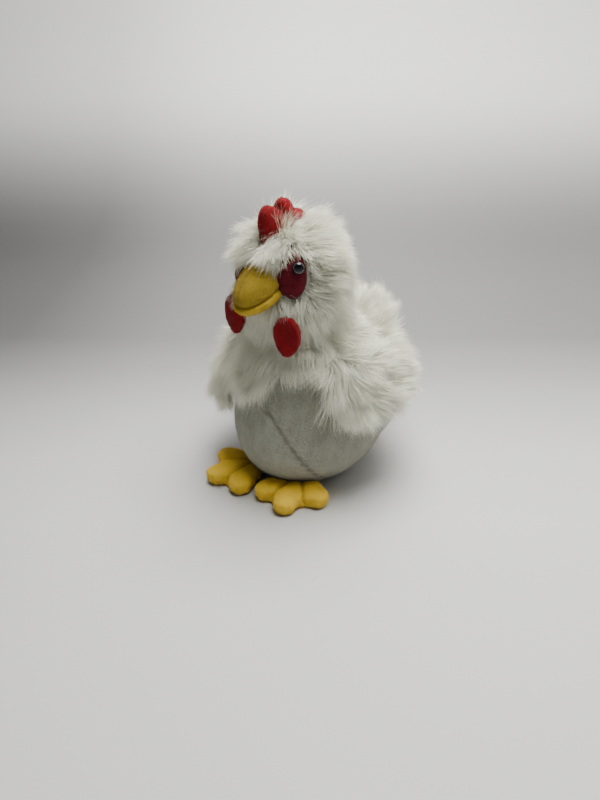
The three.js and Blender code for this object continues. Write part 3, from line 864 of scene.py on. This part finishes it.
class HEN_OT_neck(bpy.types.Operator):
    """Join the torso to the head with a furred collar in two parts, lower and upper"""

    bl_idname = "hen.neck"
    bl_label = "Neck"

    def execute(self, context):
        sizes = context.scene.hen_sizes
        turns = around(72)
        parts = (
            ("collar_lower", (139, 142, 145, 148), "torso", "neck", (142, 147)),
            ("collar_upper", (147.5, 150, 153, 157), "neck", "head", (150, 155)),
        )
        for name, heights, low, high, (start, end) in parts:
            rows = []
            for z in heights:
                share = smooth(z, 139, 157)
                below = TORSO.point(turns, min(z, 146), -0.5)
                above = from_head(HEAD.point(turns, max(z, 150), 0.5))
                row = below * (1 - share) + above * share
                row[:, 2] = z
                rows.append(row)
            cloth = new_piece(name, np.array(rows), net(len(heights), len(turns), closed=True))
            pile = cut_from(name + "_pile", cloth, everywhere)
            wall = cloth.modifiers.new("wall", "SOLIDIFY")
            wall.thickness, wall.offset = 1.2 * MM, -1
            baked(cloth)
            shaded(cloth, finish_of("belly"))
            combed(pile, (0, 0, -1), 19, 0.5, 1)
            strands(pile, "fur", seed=31, **fur_inputs(sizes))
            for piece in (cloth, pile):
                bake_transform(piece)
        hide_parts("neck_fur_band")
        return {"FINISHED"}


def patch_part(points):
    """How far points of the head are from the middle of the nearer eye patch: 1 is its edge."""
    local = to_head(points)
    turn = np.degrees(np.arctan2(np.abs(local[:, 0]), -(local[:, 1] + 12)))
    return np.hypot((turn - PATCH_TURN) / PATCH_WIDE, (local[:, 2] - PATCH_HEIGHT) / PATCH_HIGH)


def beak_part(points):
    """The same for the beak's root."""
    local = to_head(points)
    return np.hypot(local[:, 0] / 25, (local[:, 2] - 203) / 19) + np.where(local[:, 1] > -33, 9, 0)


def comb_part(points):
    local = to_head(points)
    inside = (local[:, 1] > -46) & (local[:, 1] < 6) & (local[:, 2] > 228)
    return np.where(inside, np.abs(local[:, 0]) / 5.5, 9)


class HEN_OT_head(bpy.types.Operator):
    """Sew and stuff the head, and grow its fur away from the face"""

    bl_idname = "hen.head"
    bl_label = "Head"

    def execute(self, context):
        sizes = context.scene.hen_sizes
        turns = around(64)
        heights = HEAD.rows[::10, 0]
        rings = [from_head(HEAD.point(turns, z, -0.8)) for z in heights]
        head = closed_rings("stuffed_head", rings)
        stuffed(head, 4.5, 1.0, pressure=3.0, levels=1)
        unseamed(head)
        shaded(head, finish_of("belly"))
        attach(head, "head")

        face = from_head(FACE_MIDDLE)

        def brow(points):
            """Where the forehead's fur stands forward between the comb, the beak and the eyes."""
            x, y, z = to_head(points).T
            return smooth(z, 211, 217) * smooth(-y, 22, 36) * (1 - smooth(np.abs(x), 34, 42))

        def chin(points):
            """The fur that falls forward over the tops of the wattles."""
            x, y, z = to_head(points).T
            return smooth(-y, 26, 38) * (1 - smooth(z, 190, 198)) * (1 - smooth(np.abs(x), 42, 50))

        def way(points, out):
            local = to_head(points)
            away = unit(points - face)
            low = smooth(-local[:, 2], -190, -165)
            down = np.array((0, 0, -1)) * (0.3 + 0.75 * low)[:, None]
            share, front = brow(points)[:, None], 0.8 * chin(points)[:, None]
            x, _, z = local.T
            inner = smooth(-x, 6, 16) * (1 - smooth(-x, 19, 26))
            rise = np.clip((z - 233 - 8 * inner) / 11, -0.7, 0.7)
            fan = head_way(np.stack((x * 0.014, np.full(len(x), -0.45), rise), axis=-1))
            fall = (away + down) * (1 - share) + fan * share
            return fall * (1 - front) + head_way(np.array((0, -0.3, -1.0))) * front

        def length(points, out):
            near = np.minimum(patch_part(points), beak_part(points))
            short = 0.38 + 0.62 * smooth(near, 1.0, 2.0)
            x, y, z = to_head(points).T
            behind = smooth(y, -20, -8) * (1 - smooth(np.abs(x), 10, 20))
            crest = smooth(z, 218, 232) * (0.12 + 0.25 * behind)
            nape = 1 - 0.28 * smooth(y, -8, 10) * smooth(z, 220, 236)
            fringe = brow(points) * (1 - 0.35 * smooth(x, 2, 16) * (1 - smooth(z, 224, 232)))
            fringe = fringe * (1 - 0.35 * smooth(-x, 20, 27) * (1 - smooth(z, 230, 236)))
            return nape * sizes.head_fur / MM * (
                np.maximum(np.maximum(short, fringe), 0.75 * chin(points)) + crest)

        def lift(points, out):
            local = to_head(points)
            return (0.5 + 0.34 * smooth(local[:, 2], 206, 222) * (1 - 0.6 * smooth(local[:, 1], -5, 14))
                    + 0.25 * chin(points))

        def thick(points, out):
            clear = np.minimum(patch_part(points), beak_part(points))
            edge = 0.93 - 0.15 * smooth(to_head(points)[:, 2], 218, 226)
            x, _, z = to_head(points).T
            hood = smooth(-x, 8, 14) * (1 - smooth(-x, 20, 24)) * smooth(z, 214, 220)
            return np.maximum(smooth(clear, edge, 1.0), hood) * smooth(comb_part(points), 0.7, 0.9) * (
                1 + 0.9 * brow(points))

        panels = {
            "crown_fur": lambda x: np.abs(x) <= CROWN_HALF,
            "cheek_fur_left": lambda x: x > CROWN_HALF,
            "cheek_fur_right": lambda x: x < -CROWN_HALF,
        }
        for number, (name, inside) in enumerate(panels.items()):
            fur_panel(name, head, lambda p: inside(to_head(p)[:, 0]) & (p[:, 2] > 152), "head", name,
                      (way, length, lift, thick), 40 + number, Droop=0.25, Lock_Size=0.009,
                      Lock_Pull=0.4 if number else 0.25, Lock_Sway=0.4)
        return {"FINISHED"}


class HEN_OT_eyes(bpy.types.Operator):
    """Set the eye patches and the domed eyes"""

    bl_idname = "hen.eyes"
    bl_label = "Eyes"

    def execute(self, context):
        radius = context.scene.hen_sizes.eye / MM / 2

        def eye_paint(tree):
            rim = own_value(tree, "rim")
            specks = noise(tree, own_place(tree), 1500.0, 2.0)
            grey = blend_colours(tree, specks, rgba((0.02, 0.022, 0.024)), rgba((0.085, 0.088, 0.092)))
            ring = rim.eased(0.74, 0.79) * (1.0 - rim.eased(0.86, 0.93))
            return {"Base Color": blend_colours(tree, ring, rgba((0.004, 0.004, 0.005)), grey)}

        def shank_paint(tree):
            return {"Roughness": noise(tree, own_place(tree), 800.0) * 0.3 + 0.2}

        glass = material("eye gloss", eye_paint, Roughness=0.06, Specular_IOR_Level=0.2, Coat_Weight=0.55,
                         Coat_Roughness=0.03)
        black = material("eye shank", shank_paint, Base_Color=(0.01, 0.01, 0.01, 1))
        for side, sign in SIDES:
            rho = np.linspace(0, 1, 12)
            spin = around(40)
            rings = []
            for level in rho:
                turn = -np.pi / 2 + sign * np.radians(PATCH_TURN + PATCH_WIDE * level * np.cos(spin))
                z = PATCH_HEIGHT + PATCH_HIGH * level * np.sin(spin)
                fold = 0.9 * np.exp(-(((z - 204) / 1.8) ** 2)) * (level < 0.95)
                rings.append(from_head(HEAD.point(turn, z, 2.4 * (1 - level**5) - 0.4 - fold)))
            patch = closed_rings(f"eye_patch_cloth_{side}", rings[::-1])
            wall = patch.modifiers.new("wall", "SOLIDIFY")
            wall.thickness, wall.offset = 0.8 * MM, -1
            # Painted shade round the patch's edge, through the velour finish's seam darkening.
            write(patch.data, "seam", smooth(patch_part(places(patch.data)), 0.8, 1.0))
            baked(patch)
            outward(patch)
            shaded(patch, finish_of("mask"))
            dress(patch, "head", "red_plush", f"eye_patch_{side}")
            fuzz(f"eye_patch_pile_{side}", patch, "mask pile", "head", 51, density=2.2,
                 length=0.0013)

            side_way, front_way, up_way = EYE_WAY
            way = unit(head_way(np.array((side_way * sign, front_way, up_way))))
            root = from_head(EYE_ROOT)
            across = unit(np.cross(way, (0, 0, 1.0)))
            other = np.cross(way, across)
            profile = ((0.2, 31), (2.0, 31.3), (2.0, 44.6), (radius * 0.9, 44.8), (radius, 45.4))
            dome = [(radius * math.cos(a), 45.6 + 3.4 * math.sin(a)) for a in np.linspace(0.1, 1.5, 9)]
            for name, rows, finish, node_name, slot in (
                ("eye_button", profile, black, f"eye_shank_{side}", "eye_black"),
                ("eye_dome", ((radius * 0.6, 45.3), (radius, 45.45), *dome), glass, f"eye_lens_{side}",
                 "eye_clear"),
            ):
                rings = np.array([[root + way * h + r * (across * math.cos(s) + other * math.sin(s))
                                   for s in around(32)] for r, h in rows])
                piece = closed_rings(f"{name}_{side}", rings)
                outward(piece)
                offset = places(piece.data) - root
                beside = offset - np.outer(offset @ way, way)
                write(piece.data, "rim", np.linalg.norm(beside, axis=1) / radius)
                shaded(piece, finish)
                dress(piece, "head", slot, node_name)
        return {"FINISHED"}


class HEN_OT_beak(bpy.types.Operator):
    """Sew and stuff the two halves of the beak"""

    bl_idname = "hen.beak"
    bl_label = "Beak"

    def execute(self, context):
        cos, sin = math.cos(BEAK_DROOP), math.sin(BEAK_DROOP)
        turn = np.array(((1, 0, 0), (0, cos, -sin), (0, sin, cos)))

        def placed(points):
            return from_head(np.asarray(points, float) @ turn.T + BEAK_MIDDLE)

        parts = (
            ("beak_upper", (18.8, 37.4, 18.6), 1, 0.6,
             ("upper_beak_left", "upper_beak_right", "upper_beak_fill")),
            ("beak_lower", (20.6, 40.6, 14.5), -1, -0.3, ("lower_beak", "lower_beak_fill")),
        )
        for name, radii, sign, gap, nodes in parts:
            rings = []
            spin = around(48)
            for s in np.linspace(0.0, 0.985, 26):
                reach = math.sin(s * math.pi / 2)
                size = (1 - reach**2.3) ** 0.5 + 0.01
                x = radii[0] * size * np.cos(spin)
                z = radii[2] * size * np.maximum(np.sin(spin), -0.04) * sign + gap
                y = np.full_like(x, -radii[1] * reach)
                rings.append(placed(np.stack((x, y, z), axis=-1)))
            beak = closed_rings(name, rings)
            outward(beak)
            stuffed(beak, 2.4, 0.9, pressure=2.0, levels=1)

            def seams(points):
                local = to_head(points)
                return np.abs(local[:, 0]) if sign > 0 else np.full(len(points), 1e3)

            creased(beak, seams, 0.5, 1.0)
            # The upper half takes the finish with the most painted shade.
            finish = "beak" if sign > 0 else "lip"
            shaded(beak, finish_of(finish))
            dress(beak, "head", "yellow_plush", *nodes, fill=0.8)
            fuzz(name + "_pile", beak, finish + " pile", "head", 61, density=2.4)
        return {"FINISHED"}


COMB_OUTLINE = curve_points(  # three lobes, front to back: y and z in the head
    (-42, 222), ((-50, 230), (-50, 238)), ((-57, 251), (-51, 262), (-42, 261)), ((-33, 260), (-31, 249)),
    ((-32, 260), (-28, 266), (-21, 265)), ((-12, 264), (-11, 249)),
    ((-9, 254), (-3, 254), (2, 249)), ((7, 244), (6, 236)), ((5, 222),), count=6)


class HEN_OT_comb(bpy.types.Operator):
    """Sew and stuff the comb"""

    bl_idname = "hen.comb"
    bl_label = "Comb"

    def execute(self, context):
        comb = slab("comb_stuffed", COMB_OUTLINE, lambda u, v, w: from_head(np.array((w, u, v))), 4.6)
        stuffed(comb, 2.4, 3.4, pressure=14.0, levels=1, stiffness=5.0)

        def seams(points):
            return np.abs(to_head(points)[:, 0])

        creased(comb, seams, 0.7, 0.9)
        shaded(comb, finish_of("red"))
        dress(comb, "head", "red_plush", "comb_face_left", "comb_face_right", "comb_batting", fill=0.6)
        fuzz("comb_pile", comb, "red pile", "head", 71, density=2.4)
        return {"FINISHED"}


class HEN_OT_wattles(bpy.types.Operator):
    """Sew and stuff the two wattles"""

    bl_idname = "hen.wattles"
    bl_label = "Wattles"

    def execute(self, context):
        for side, sign in SIDES:
            yaw = math.radians(10 * sign)
            middle = np.array((28.0 * sign, -54.5, 162.0 if sign > 0 else 168.5))
            across = np.array((math.cos(yaw), math.sin(yaw), 0))
            out = np.array((math.sin(yaw), -math.cos(yaw), 0))
            spin = around(40)
            narrow = 1 - 0.2 * np.abs(np.sin(spin)) ** 2
            wide = np.sign(np.cos(spin)) * np.abs(np.cos(spin)) ** 0.92 * 12.4 * narrow
            tall = np.sin(spin) * 18.0 + 1.5 * np.cos(spin) ** 2
            outline = np.stack((wide, tall), axis=-1)

            def place(u, v, w):
                return from_head(middle + across * u + np.array((0, 0, v)) + out * w)

            wattle = slab(f"wattle_stuffed_{side}", outline, place, 3.0)
            stuffed(wattle, 2.2, 2.4, pressure=14.0, levels=1, stiffness=5.0)

            def seams(points):
                return np.abs((to_head(points) - middle) @ out)

            creased(wattle, seams, 0.6, 0.8)
            shaded(wattle, finish_of("red"))
            dress(wattle, f"wattle_{side}", "red_plush", f"wattle_{side}_front", f"wattle_{side}_back",
                  fill=0.5)
            fuzz(f"wattle_pile_{side}", wattle, "red pile", f"wattle_{side}", 72, density=2.4)
        return {"FINISHED"}


WING_OUTLINE = curve_points(  # y and z, from the top of its front edge down and round
    (-31, 134), ((-46, 106), (-35, 88)), ((-8, 75), (34, 83)), ((70, 87), (77, 98)), ((70, 106),),
    ((-31, 134),), count=14)


class HEN_OT_wings(bpy.types.Operator):
    """Sew the two wings, and grow the fur on their outer faces"""

    bl_idname = "hen.wings"
    bl_label = "Wings"

    def execute(self, context):
        sizes = context.scene.hen_sizes
        centre = np.array((20.0, 100.0))
        for side, sign in SIDES:
            spokes = WING_OUTLINE[:-1:2].copy()
            if sign < 0:  # the right wing hangs lower at the breast
                ahead = smooth(-spokes[:, 0], -40, 5)
                spokes[:, 1] -= 22 * ahead * (1 - smooth(spokes[:, 1], 84, 128))
            rings = []
            for level in (0.2, 0.4, 0.6, 0.75, 0.87, 0.95, 1.0):
                yz = centre + (spokes - centre) * level
                rings.append(TORSO.beside(yz[:, 0], yz[:, 1], sign, 6.9))
            for level in (1.0, 0.97, 0.92, 0.84, 0.7, 0.5, 0.3, 0.15):
                yz = centre + (spokes - centre) * level
                flare = 6 * smooth(-yz[:, 1], -115, -75)
                rise = 1.4 + (6.0 + flare) * (1 - level**4) ** 0.5
                rings.append(TORSO.beside(yz[:, 0], yz[:, 1], sign, 6.9 + rise))
            wing = closed_rings(f"wing_pad_{side}", rings)
            outward(wing)
            divided(wing, 1)
            unseamed(wing)
            shaded(wing, finish_of("belly"))
            dress(wing, f"wing_{side}", "velour", f"wing_{side}_lining", f"wing_{side}_batting", fill=0.5)

            def lifted(points):
                """True where a point stands further off the torso than the wing's lining."""
                x, y, z = points.T
                rx, ry, cy, _, _ = TORSO.at(z)
                off_wall = np.hypot(x, y - cy) * (1 - 1 / np.hypot(x / rx, (y - cy) / ry))
                return off_wall > 8.2 - smooth(z, 108, 122)

            def way(points, out):
                front = smooth(-points[:, 1], 8, 36)[:, None]
                low = smooth(-points[:, 2], -106, -90)[:, None] * (1 - front)
                rear = np.array((0, 0.95, -0.42)) * (1 - low) + np.array((0, 1.0, -0.1)) * low
                return rear * (1 - front) + np.array((0.2 * sign, 0.1, -1)) * front

            fur_panel(f"wing_fur_{side}", wing, lifted, f"wing_{side}", f"wing_{side}_fur",
                      (way, sizes.wing_fur / MM * 0.9, 0.42, 1), 80 + (sign > 0), Lock_Size=0.011)
        return {"FINISHED"}


class HEN_OT_tail(bpy.types.Operator):
    """Sew and stuff the tail, and grow its fur outwards"""

    bl_idname = "hen.tail"
    bl_label = "Tail"

    def execute(self, context):
        sizes = context.scene.hen_sizes
        along = np.array((0, math.cos(TAIL_LIFT), math.sin(TAIL_LIFT)))
        up = np.array((0, -math.sin(TAIL_LIFT), math.cos(TAIL_LIFT)))
        spin = around(40)
        rings = []
        for s in np.linspace(0.04, 0.97, 18):
            reach = -24 + 76 * s
            plump = math.sin(math.pi * s) ** 0.6
            wide, deep = 35 * plump * (0.75 + 0.25 * s), 24 * plump * (1.2 - 0.4 * s)
            ring = (TAIL_PIVOT + along * reach + np.outer(np.cos(spin) * wide, (1, 0, 0))
                    + np.outer(np.sin(spin) * deep, up))
            rings.append(ring)
        tail = closed_rings("tail_pad", rings)
        outward(tail)
        stuffed(tail, 4.0, 1.5, pressure=3.0, levels=1)
        unseamed(tail)
        shaded(tail, finish_of("belly"))
        dress(tail, "tail", "velour", "tail_stuffing", fill=0.6)
        halves = {"tail_fur_upper": 1, "tail_fur_lower": -1}
        for number, (name, sign) in enumerate(halves.items()):
            fur_panel(name, tail,
                      lambda p: ((p - TAIL_PIVOT) @ up * sign > 0) & ((p - TAIL_PIVOT) @ along > 4), "tail",
                      name, (along, sizes.wing_fur / MM * 0.85, 0.5, 1), 90 + number, Lock_Size=0.011)
        return {"FINISHED"}


class HEN_OT_feet(bpy.types.Operator):
    """Sew and stuff the two feet, each with three toes"""

    bl_idname = "hen.feet"
    bl_label = "Feet"

    def execute(self, context):
        for side, sign in SIDES:
            splay = math.radians(FOOT_SPLAY[side])
            heel = np.array(FOOT_HEEL[side], float)

            def on_floor(u, v):
                """From the foot's own axes, v towards the middle toe, to the floor."""
                x = heel[0] + u * math.cos(splay) + v * math.sin(splay)
                y = heel[1] + u * math.sin(splay) - v * math.cos(splay)
                return x * sign, y

            points, faces = [], []

            def prism(outline, low, high):
                start, count = len(points), len(outline)
                for z in (low, high):
                    points.extend((*on_floor(u, v), z) for u, v in outline)
                faces.append(tuple(start + k for k in range(count))[::-1])
                faces.append(tuple(start + count + k for k in range(count)))
                for k in range(count):
                    after = (k + 1) % count
                    faces.append((start + k, start + after, start + count + after, start + count + k))

            tips = []
            for turn, long in TOES:
                a = math.radians(turn)
                way, off = np.array((math.sin(a), math.cos(a))), np.array((math.cos(a), -math.sin(a)))
                radius = TOE_RADIUS + 0.5
                cap = [way * long + radius * (off * math.cos(t) + way * math.sin(t))
                       for t in np.linspace(0, math.pi, 12)]
                tail = [radius * (off * math.cos(t) + way * math.sin(t))
                        for t in np.linspace(math.pi, 2 * math.pi, 8)]
                prism([tuple(p) for p in (*cap, *tail)], 2.4, 12.5)
                tips.append((way, long))
            web = [way * (long + 6) for way, long in (tips[1], tips[0], tips[2])]
            prism([(0.0, -6.0), *(tuple(p) for p in web)], 2.4, 12.5)
            foot = new_piece(f"foot_stuffed_{side}", points, faces)
            outward(foot)
            stuffed(foot, 2.4, 2.2, pressure=12.0, levels=1, stiffness=5.0)

            def grooves(points):
                x, y = points[:, 0] * sign - heel[0], points[:, 1] - heel[1]
                u = x * math.cos(splay) + y * math.sin(splay)
                v = x * math.sin(splay) - y * math.cos(splay)
                nearest = np.full(len(points), 1e3)
                for turn in (-21, 25):
                    a = math.radians(turn)
                    along = u * math.sin(a) + v * math.cos(a)
                    beside = np.abs(u * math.cos(a) - v * math.sin(a))
                    nearest = np.minimum(nearest, np.where((along > 8) & (points[:, 2] > 5), beside, 1e3))
                return nearest

            creased(foot, grooves, 3.0, 2.2)
            shape = places(foot.data)
            rim = np.exp(-(((shape[:, 2] - 4.6) / 0.8) ** 2))
            shape -= normals(foot.data) * (0.5 * rim)[:, None]
            # Painted shade in the grooves between the toes and along the rim seam, through the velour finish.
            seam = np.maximum(np.exp(-((grooves(shape) / 1.2) ** 2)), rim * 0.6)
            roof = TORSO.underside(shape[:, 0], shape[:, 1]) - 0.9
            shape[:, 2] = np.clip(shape[:, 2], 0.3, np.maximum(roof, 0.8))
            move_to(foot.data, shape)
            write(foot.data, "seam", seam)
            shaded(foot, finish_of("yellow"))
            dress(foot, f"foot_{side}", "yellow_plush", f"foot_{side}_upper", f"foot_{side}_sole",
                  f"foot_{side}_fill", fill=0.5)
            fuzz(f"foot_pile_{side}", foot, "yellow pile", f"foot_{side}", 75,
                 keep=lambda p: p[:, 2] > 1.2, density=2.4)
        return {"FINISHED"}


class HEN_OT_label(bpy.types.Operator):
    """Fold and sew the blank label into the seam beside the rump"""

    bl_idname = "hen.label"
    bl_label = "Label"

    def execute(self, context):
        turn = math.radians(43)
        way = unit(np.array((math.cos(turn), math.sin(turn), -0.15)))
        across = unit(np.cross((0, 0, 1.0), way))
        heights = np.linspace(15.0, 36.0, 15)
        seam = TORSO.point(math.radians(48), heights, 0.5)
        # Out along one leaf, round the fold, and back along the other.
        path = [(-4 + k * 2.0, 0.45) for k in range(9)]
        path += [(12.9 + 0.45 * math.sin(a), 0.45 * math.cos(a)) for a in np.linspace(0.5, 2.6, 4)]
        path += [(12 - k * 2.0, -0.45) for k in range(9)]
        rows = []
        for reach, beside in path:
            sway = 0.045 * math.sin(reach * 0.35) * (heights - 25.5)
            rows.append(seam + way * reach + np.outer(beside + sway, across))
        label = new_piece("label_tape", np.array(rows), net(len(path), len(heights)))
        wall = label.modifiers.new("wall", "SOLIDIFY")
        wall.thickness, wall.offset = 0.25 * MM, 0
        baked(label)
        shaded(label, finish_of("tape"))
        dress(label, "torso", "nylon", "sewn_label")
        return {"FINISHED"}


class HEN_OT_filling(bpy.types.Operator):
    """Finish the solids that stay from the frame: fibre, the pellet pouch and the washers"""

    bl_idname = "hen.filling"
    bl_label = "Filling"

    def execute(self, context):
        kept = {
            "torso_stuffing": "fibre", "head_stuffing": "fibre", "neck_stuffing": "fibre",
            "pellet_pouch": "cotton", "eye_washer_left": "tape", "eye_washer_right": "tape",
        }
        for name, finish in kept.items():
            solid = bpy.data.objects[name]
            for place in solid.material_slots:
                place.material = finish_of(finish)
        return {"FINISHED"}


class HEN_OT_stage(bpy.types.Operator):
    """Lay the floor and its sweep, and place the lights and the camera"""

    bl_idname = "hen.stage"
    bl_label = "Stage"

    def execute(self, context):
        scene = context.scene
        stage = scene.hen_stage
        azimuth, elevation = stage.azimuth, stage.elevation
        back = Vector((math.sin(azimuth) * math.cos(elevation),
                       -math.cos(azimuth) * math.cos(elevation), math.sin(elevation)))
        right = Vector((math.cos(azimuth), math.sin(azimuth), 0))
        up = back.cross(right)

        camera = bpy.data.objects.new("camera", bpy.data.cameras.new("camera"))
        scene.collection.objects.link(camera)
        camera.data.sensor_width, camera.data.lens = 36, 31.14
        camera.data.clip_start, camera.data.clip_end = 0.02, 30
        # The base lies a little right of the view's middle and below it.
        ray = (-back + right * 0.00867 - up * 0.08382).normalized()
        camera.location = -ray * stage.distance
        camera.rotation_euler = Matrix((right, up, back)).transposed().to_euler()
        scene.camera = camera

        # A floor that curves up far behind the hen. Its tone attribute is painted shade: a grey band where it
        # bends, darker low down, and darker on its left.
        run = [(far, 0.0) for far in (-1.6, -1.0, -0.4, -0.1, 0.0, 0.1, 0.2, 0.3, 0.4, 0.5, 0.62)]
        run += [(0.62 + 0.5 * math.sin(a), 0.5 - 0.5 * math.cos(a))
                for a in np.linspace(0.1, math.pi / 2, 14)]
        run += [(1.12, height) for height in (0.65, 0.8, 1.0, 1.3, 3.0)]
        sides = (-1.7, -1.2, -0.7, -0.4, -0.2, 0, 0.2, 0.4, 0.7, 1.2, 1.7)
        ahead = Vector((-math.sin(azimuth), math.cos(azimuth), 0))
        rows = [[ahead * far + right * side + Vector((0, 0, height)) for side in sides]
                for far, height in run]
        wide = len(sides)
        sweep = new_piece("floor_sweep", np.array(rows) / MM, net(len(run), wide))
        far, height = (np.repeat(values, wide) for values in np.array(run).T)
        side = np.tile(sides, len(run))
        # Painted shade: a grey band where the floor bends up, deeper at the sides and shallower on the right.
        bend = smooth(far, -0.12, 0.34) * (1 - smooth(height, 0.0, 0.24))
        edge = smooth(np.abs(side + 0.02), 0.0, 0.55)
        left = smooth(-side, 0.05, 0.5)
        depth = 0.66 + 0.2 * edge - 0.12 * smooth(side, 0.0, 0.5)
        # Painted shade: darker low down and on the left.
        shade_low_and_left = (0.72 + 0.28 * smooth(height, 0.1, 0.32)) * (1 - 0.28 * left)
        write(sweep.data, "tone", (1 - bend * depth) * shade_low_and_left)

        def paper(tree):
            place = own_place(tree)
            cloud = noise(tree, place, 1.6, 2.0)
            grain = noise(tree, place, 240.0, 2.0)
            pale = blend_colours(tree, cloud * 0.5 + grain * 0.1, rgba(stage.floor, 0.93), rgba(stage.floor))
            # The painted shade in tone darkens the paper towards black.
            tint = blend_colours(tree, own_value(tree, "tone"), (0.0, 0.0, 0.0, 1.0), pale)
            return {"Base Color": tint, "Roughness": grain * 0.1 + 0.6}

        shaded(sweep, material("pale paper", paper))

        world = bpy.data.worlds.new("soft room")
        scene.world = world
        world.use_nodes = True
        tree = world.node_tree
        way = node(tree, "ShaderNodeTexCoord", out="Generated")
        height = node(tree, "ShaderNodeSeparateXYZ", {}, {0: way}, "Z").eased(0.1, 0.5)
        glow = blend_colours(tree, height, (0.42, 0.43, 0.44, 1), (0.04, 0.042, 0.045, 1))
        tree.links.new(glow.socket, tree.nodes["Background"].inputs["Color"])

        lamps = (
            ("top lamp", (0.2, 0.1, 1.3), 0.8, 37, (1.0, 0.99, 0.95)),
            ("right lamp", (1.3, 0.6, 0.8), 0.8, 6, (1.0, 0.97, 0.92)),
            ("wall lamp", (0.0, 0.55, 1.3), 0.6, 15.5, (1.0, 0.98, 0.97)),
        )
        for name, place, size, power, colour in lamps:
            data = bpy.data.lights.new(name, "AREA")
            data.size, data.energy, data.color = size, power, colour
            lamp = bpy.data.objects.new(name, data)
            scene.collection.objects.link(lamp)
            where = right * place[0] + ahead * place[1] + Vector((0, 0, place[2]))
            lamp.location = where
            aim = ahead * 1.12 + Vector((0, 0, 0.55)) if name == "wall lamp" else Vector((0, 0, 0.12))
            lamp.rotation_euler = (where - aim).to_track_quat("Z", "Y").to_euler()
        return {"FINISHED"}


class HEN_PT_panel(bpy.types.Panel):
    """Shows the hen's settings and the buttons of its steps in the sidebar"""

    bl_idname = "HEN_PT_panel"
    bl_label = "Stuffed hen"
    bl_space_type = "VIEW_3D"
    bl_region_type = "UI"
    bl_category = "Hen"

    def draw(self, context):
        for settings in (context.scene.hen_colours, context.scene.hen_sizes, context.scene.hen_stage):
            box = self.layout.box()
            for name in settings.__annotations__:
                box.prop(settings, name)
        for operator in OPERATORS:
            self.layout.operator(operator.bl_idname)


OPERATORS = (
    HEN_OT_stage, HEN_OT_finishes, HEN_OT_torso, HEN_OT_body_fur, HEN_OT_neck, HEN_OT_head, HEN_OT_eyes,
    HEN_OT_beak, HEN_OT_comb, HEN_OT_wattles, HEN_OT_wings, HEN_OT_tail, HEN_OT_feet, HEN_OT_label,
    HEN_OT_filling,
)
CLASSES = (HenColours, HenSizes, StageSettings, *OPERATORS, HEN_PT_panel)


def register():
    for kind in CLASSES:
        bpy.utils.register_class(kind)
    bpy.types.Scene.hen_colours = bpy.props.PointerProperty(type=HenColours)
    bpy.types.Scene.hen_sizes = bpy.props.PointerProperty(type=HenSizes)
    bpy.types.Scene.hen_stage = bpy.props.PointerProperty(type=StageSettings)


def unregister():
    del bpy.types.Scene.hen_stage
    del bpy.types.Scene.hen_sizes
    del bpy.types.Scene.hen_colours
    for kind in reversed(CLASSES):
        bpy.utils.unregister_class(kind)


def main():
    register()
    for operator in OPERATORS:
        group, name = operator.bl_idname.split(".")
        getattr(getattr(bpy.ops, group), name)()


if __name__ == "__main__":
    main()
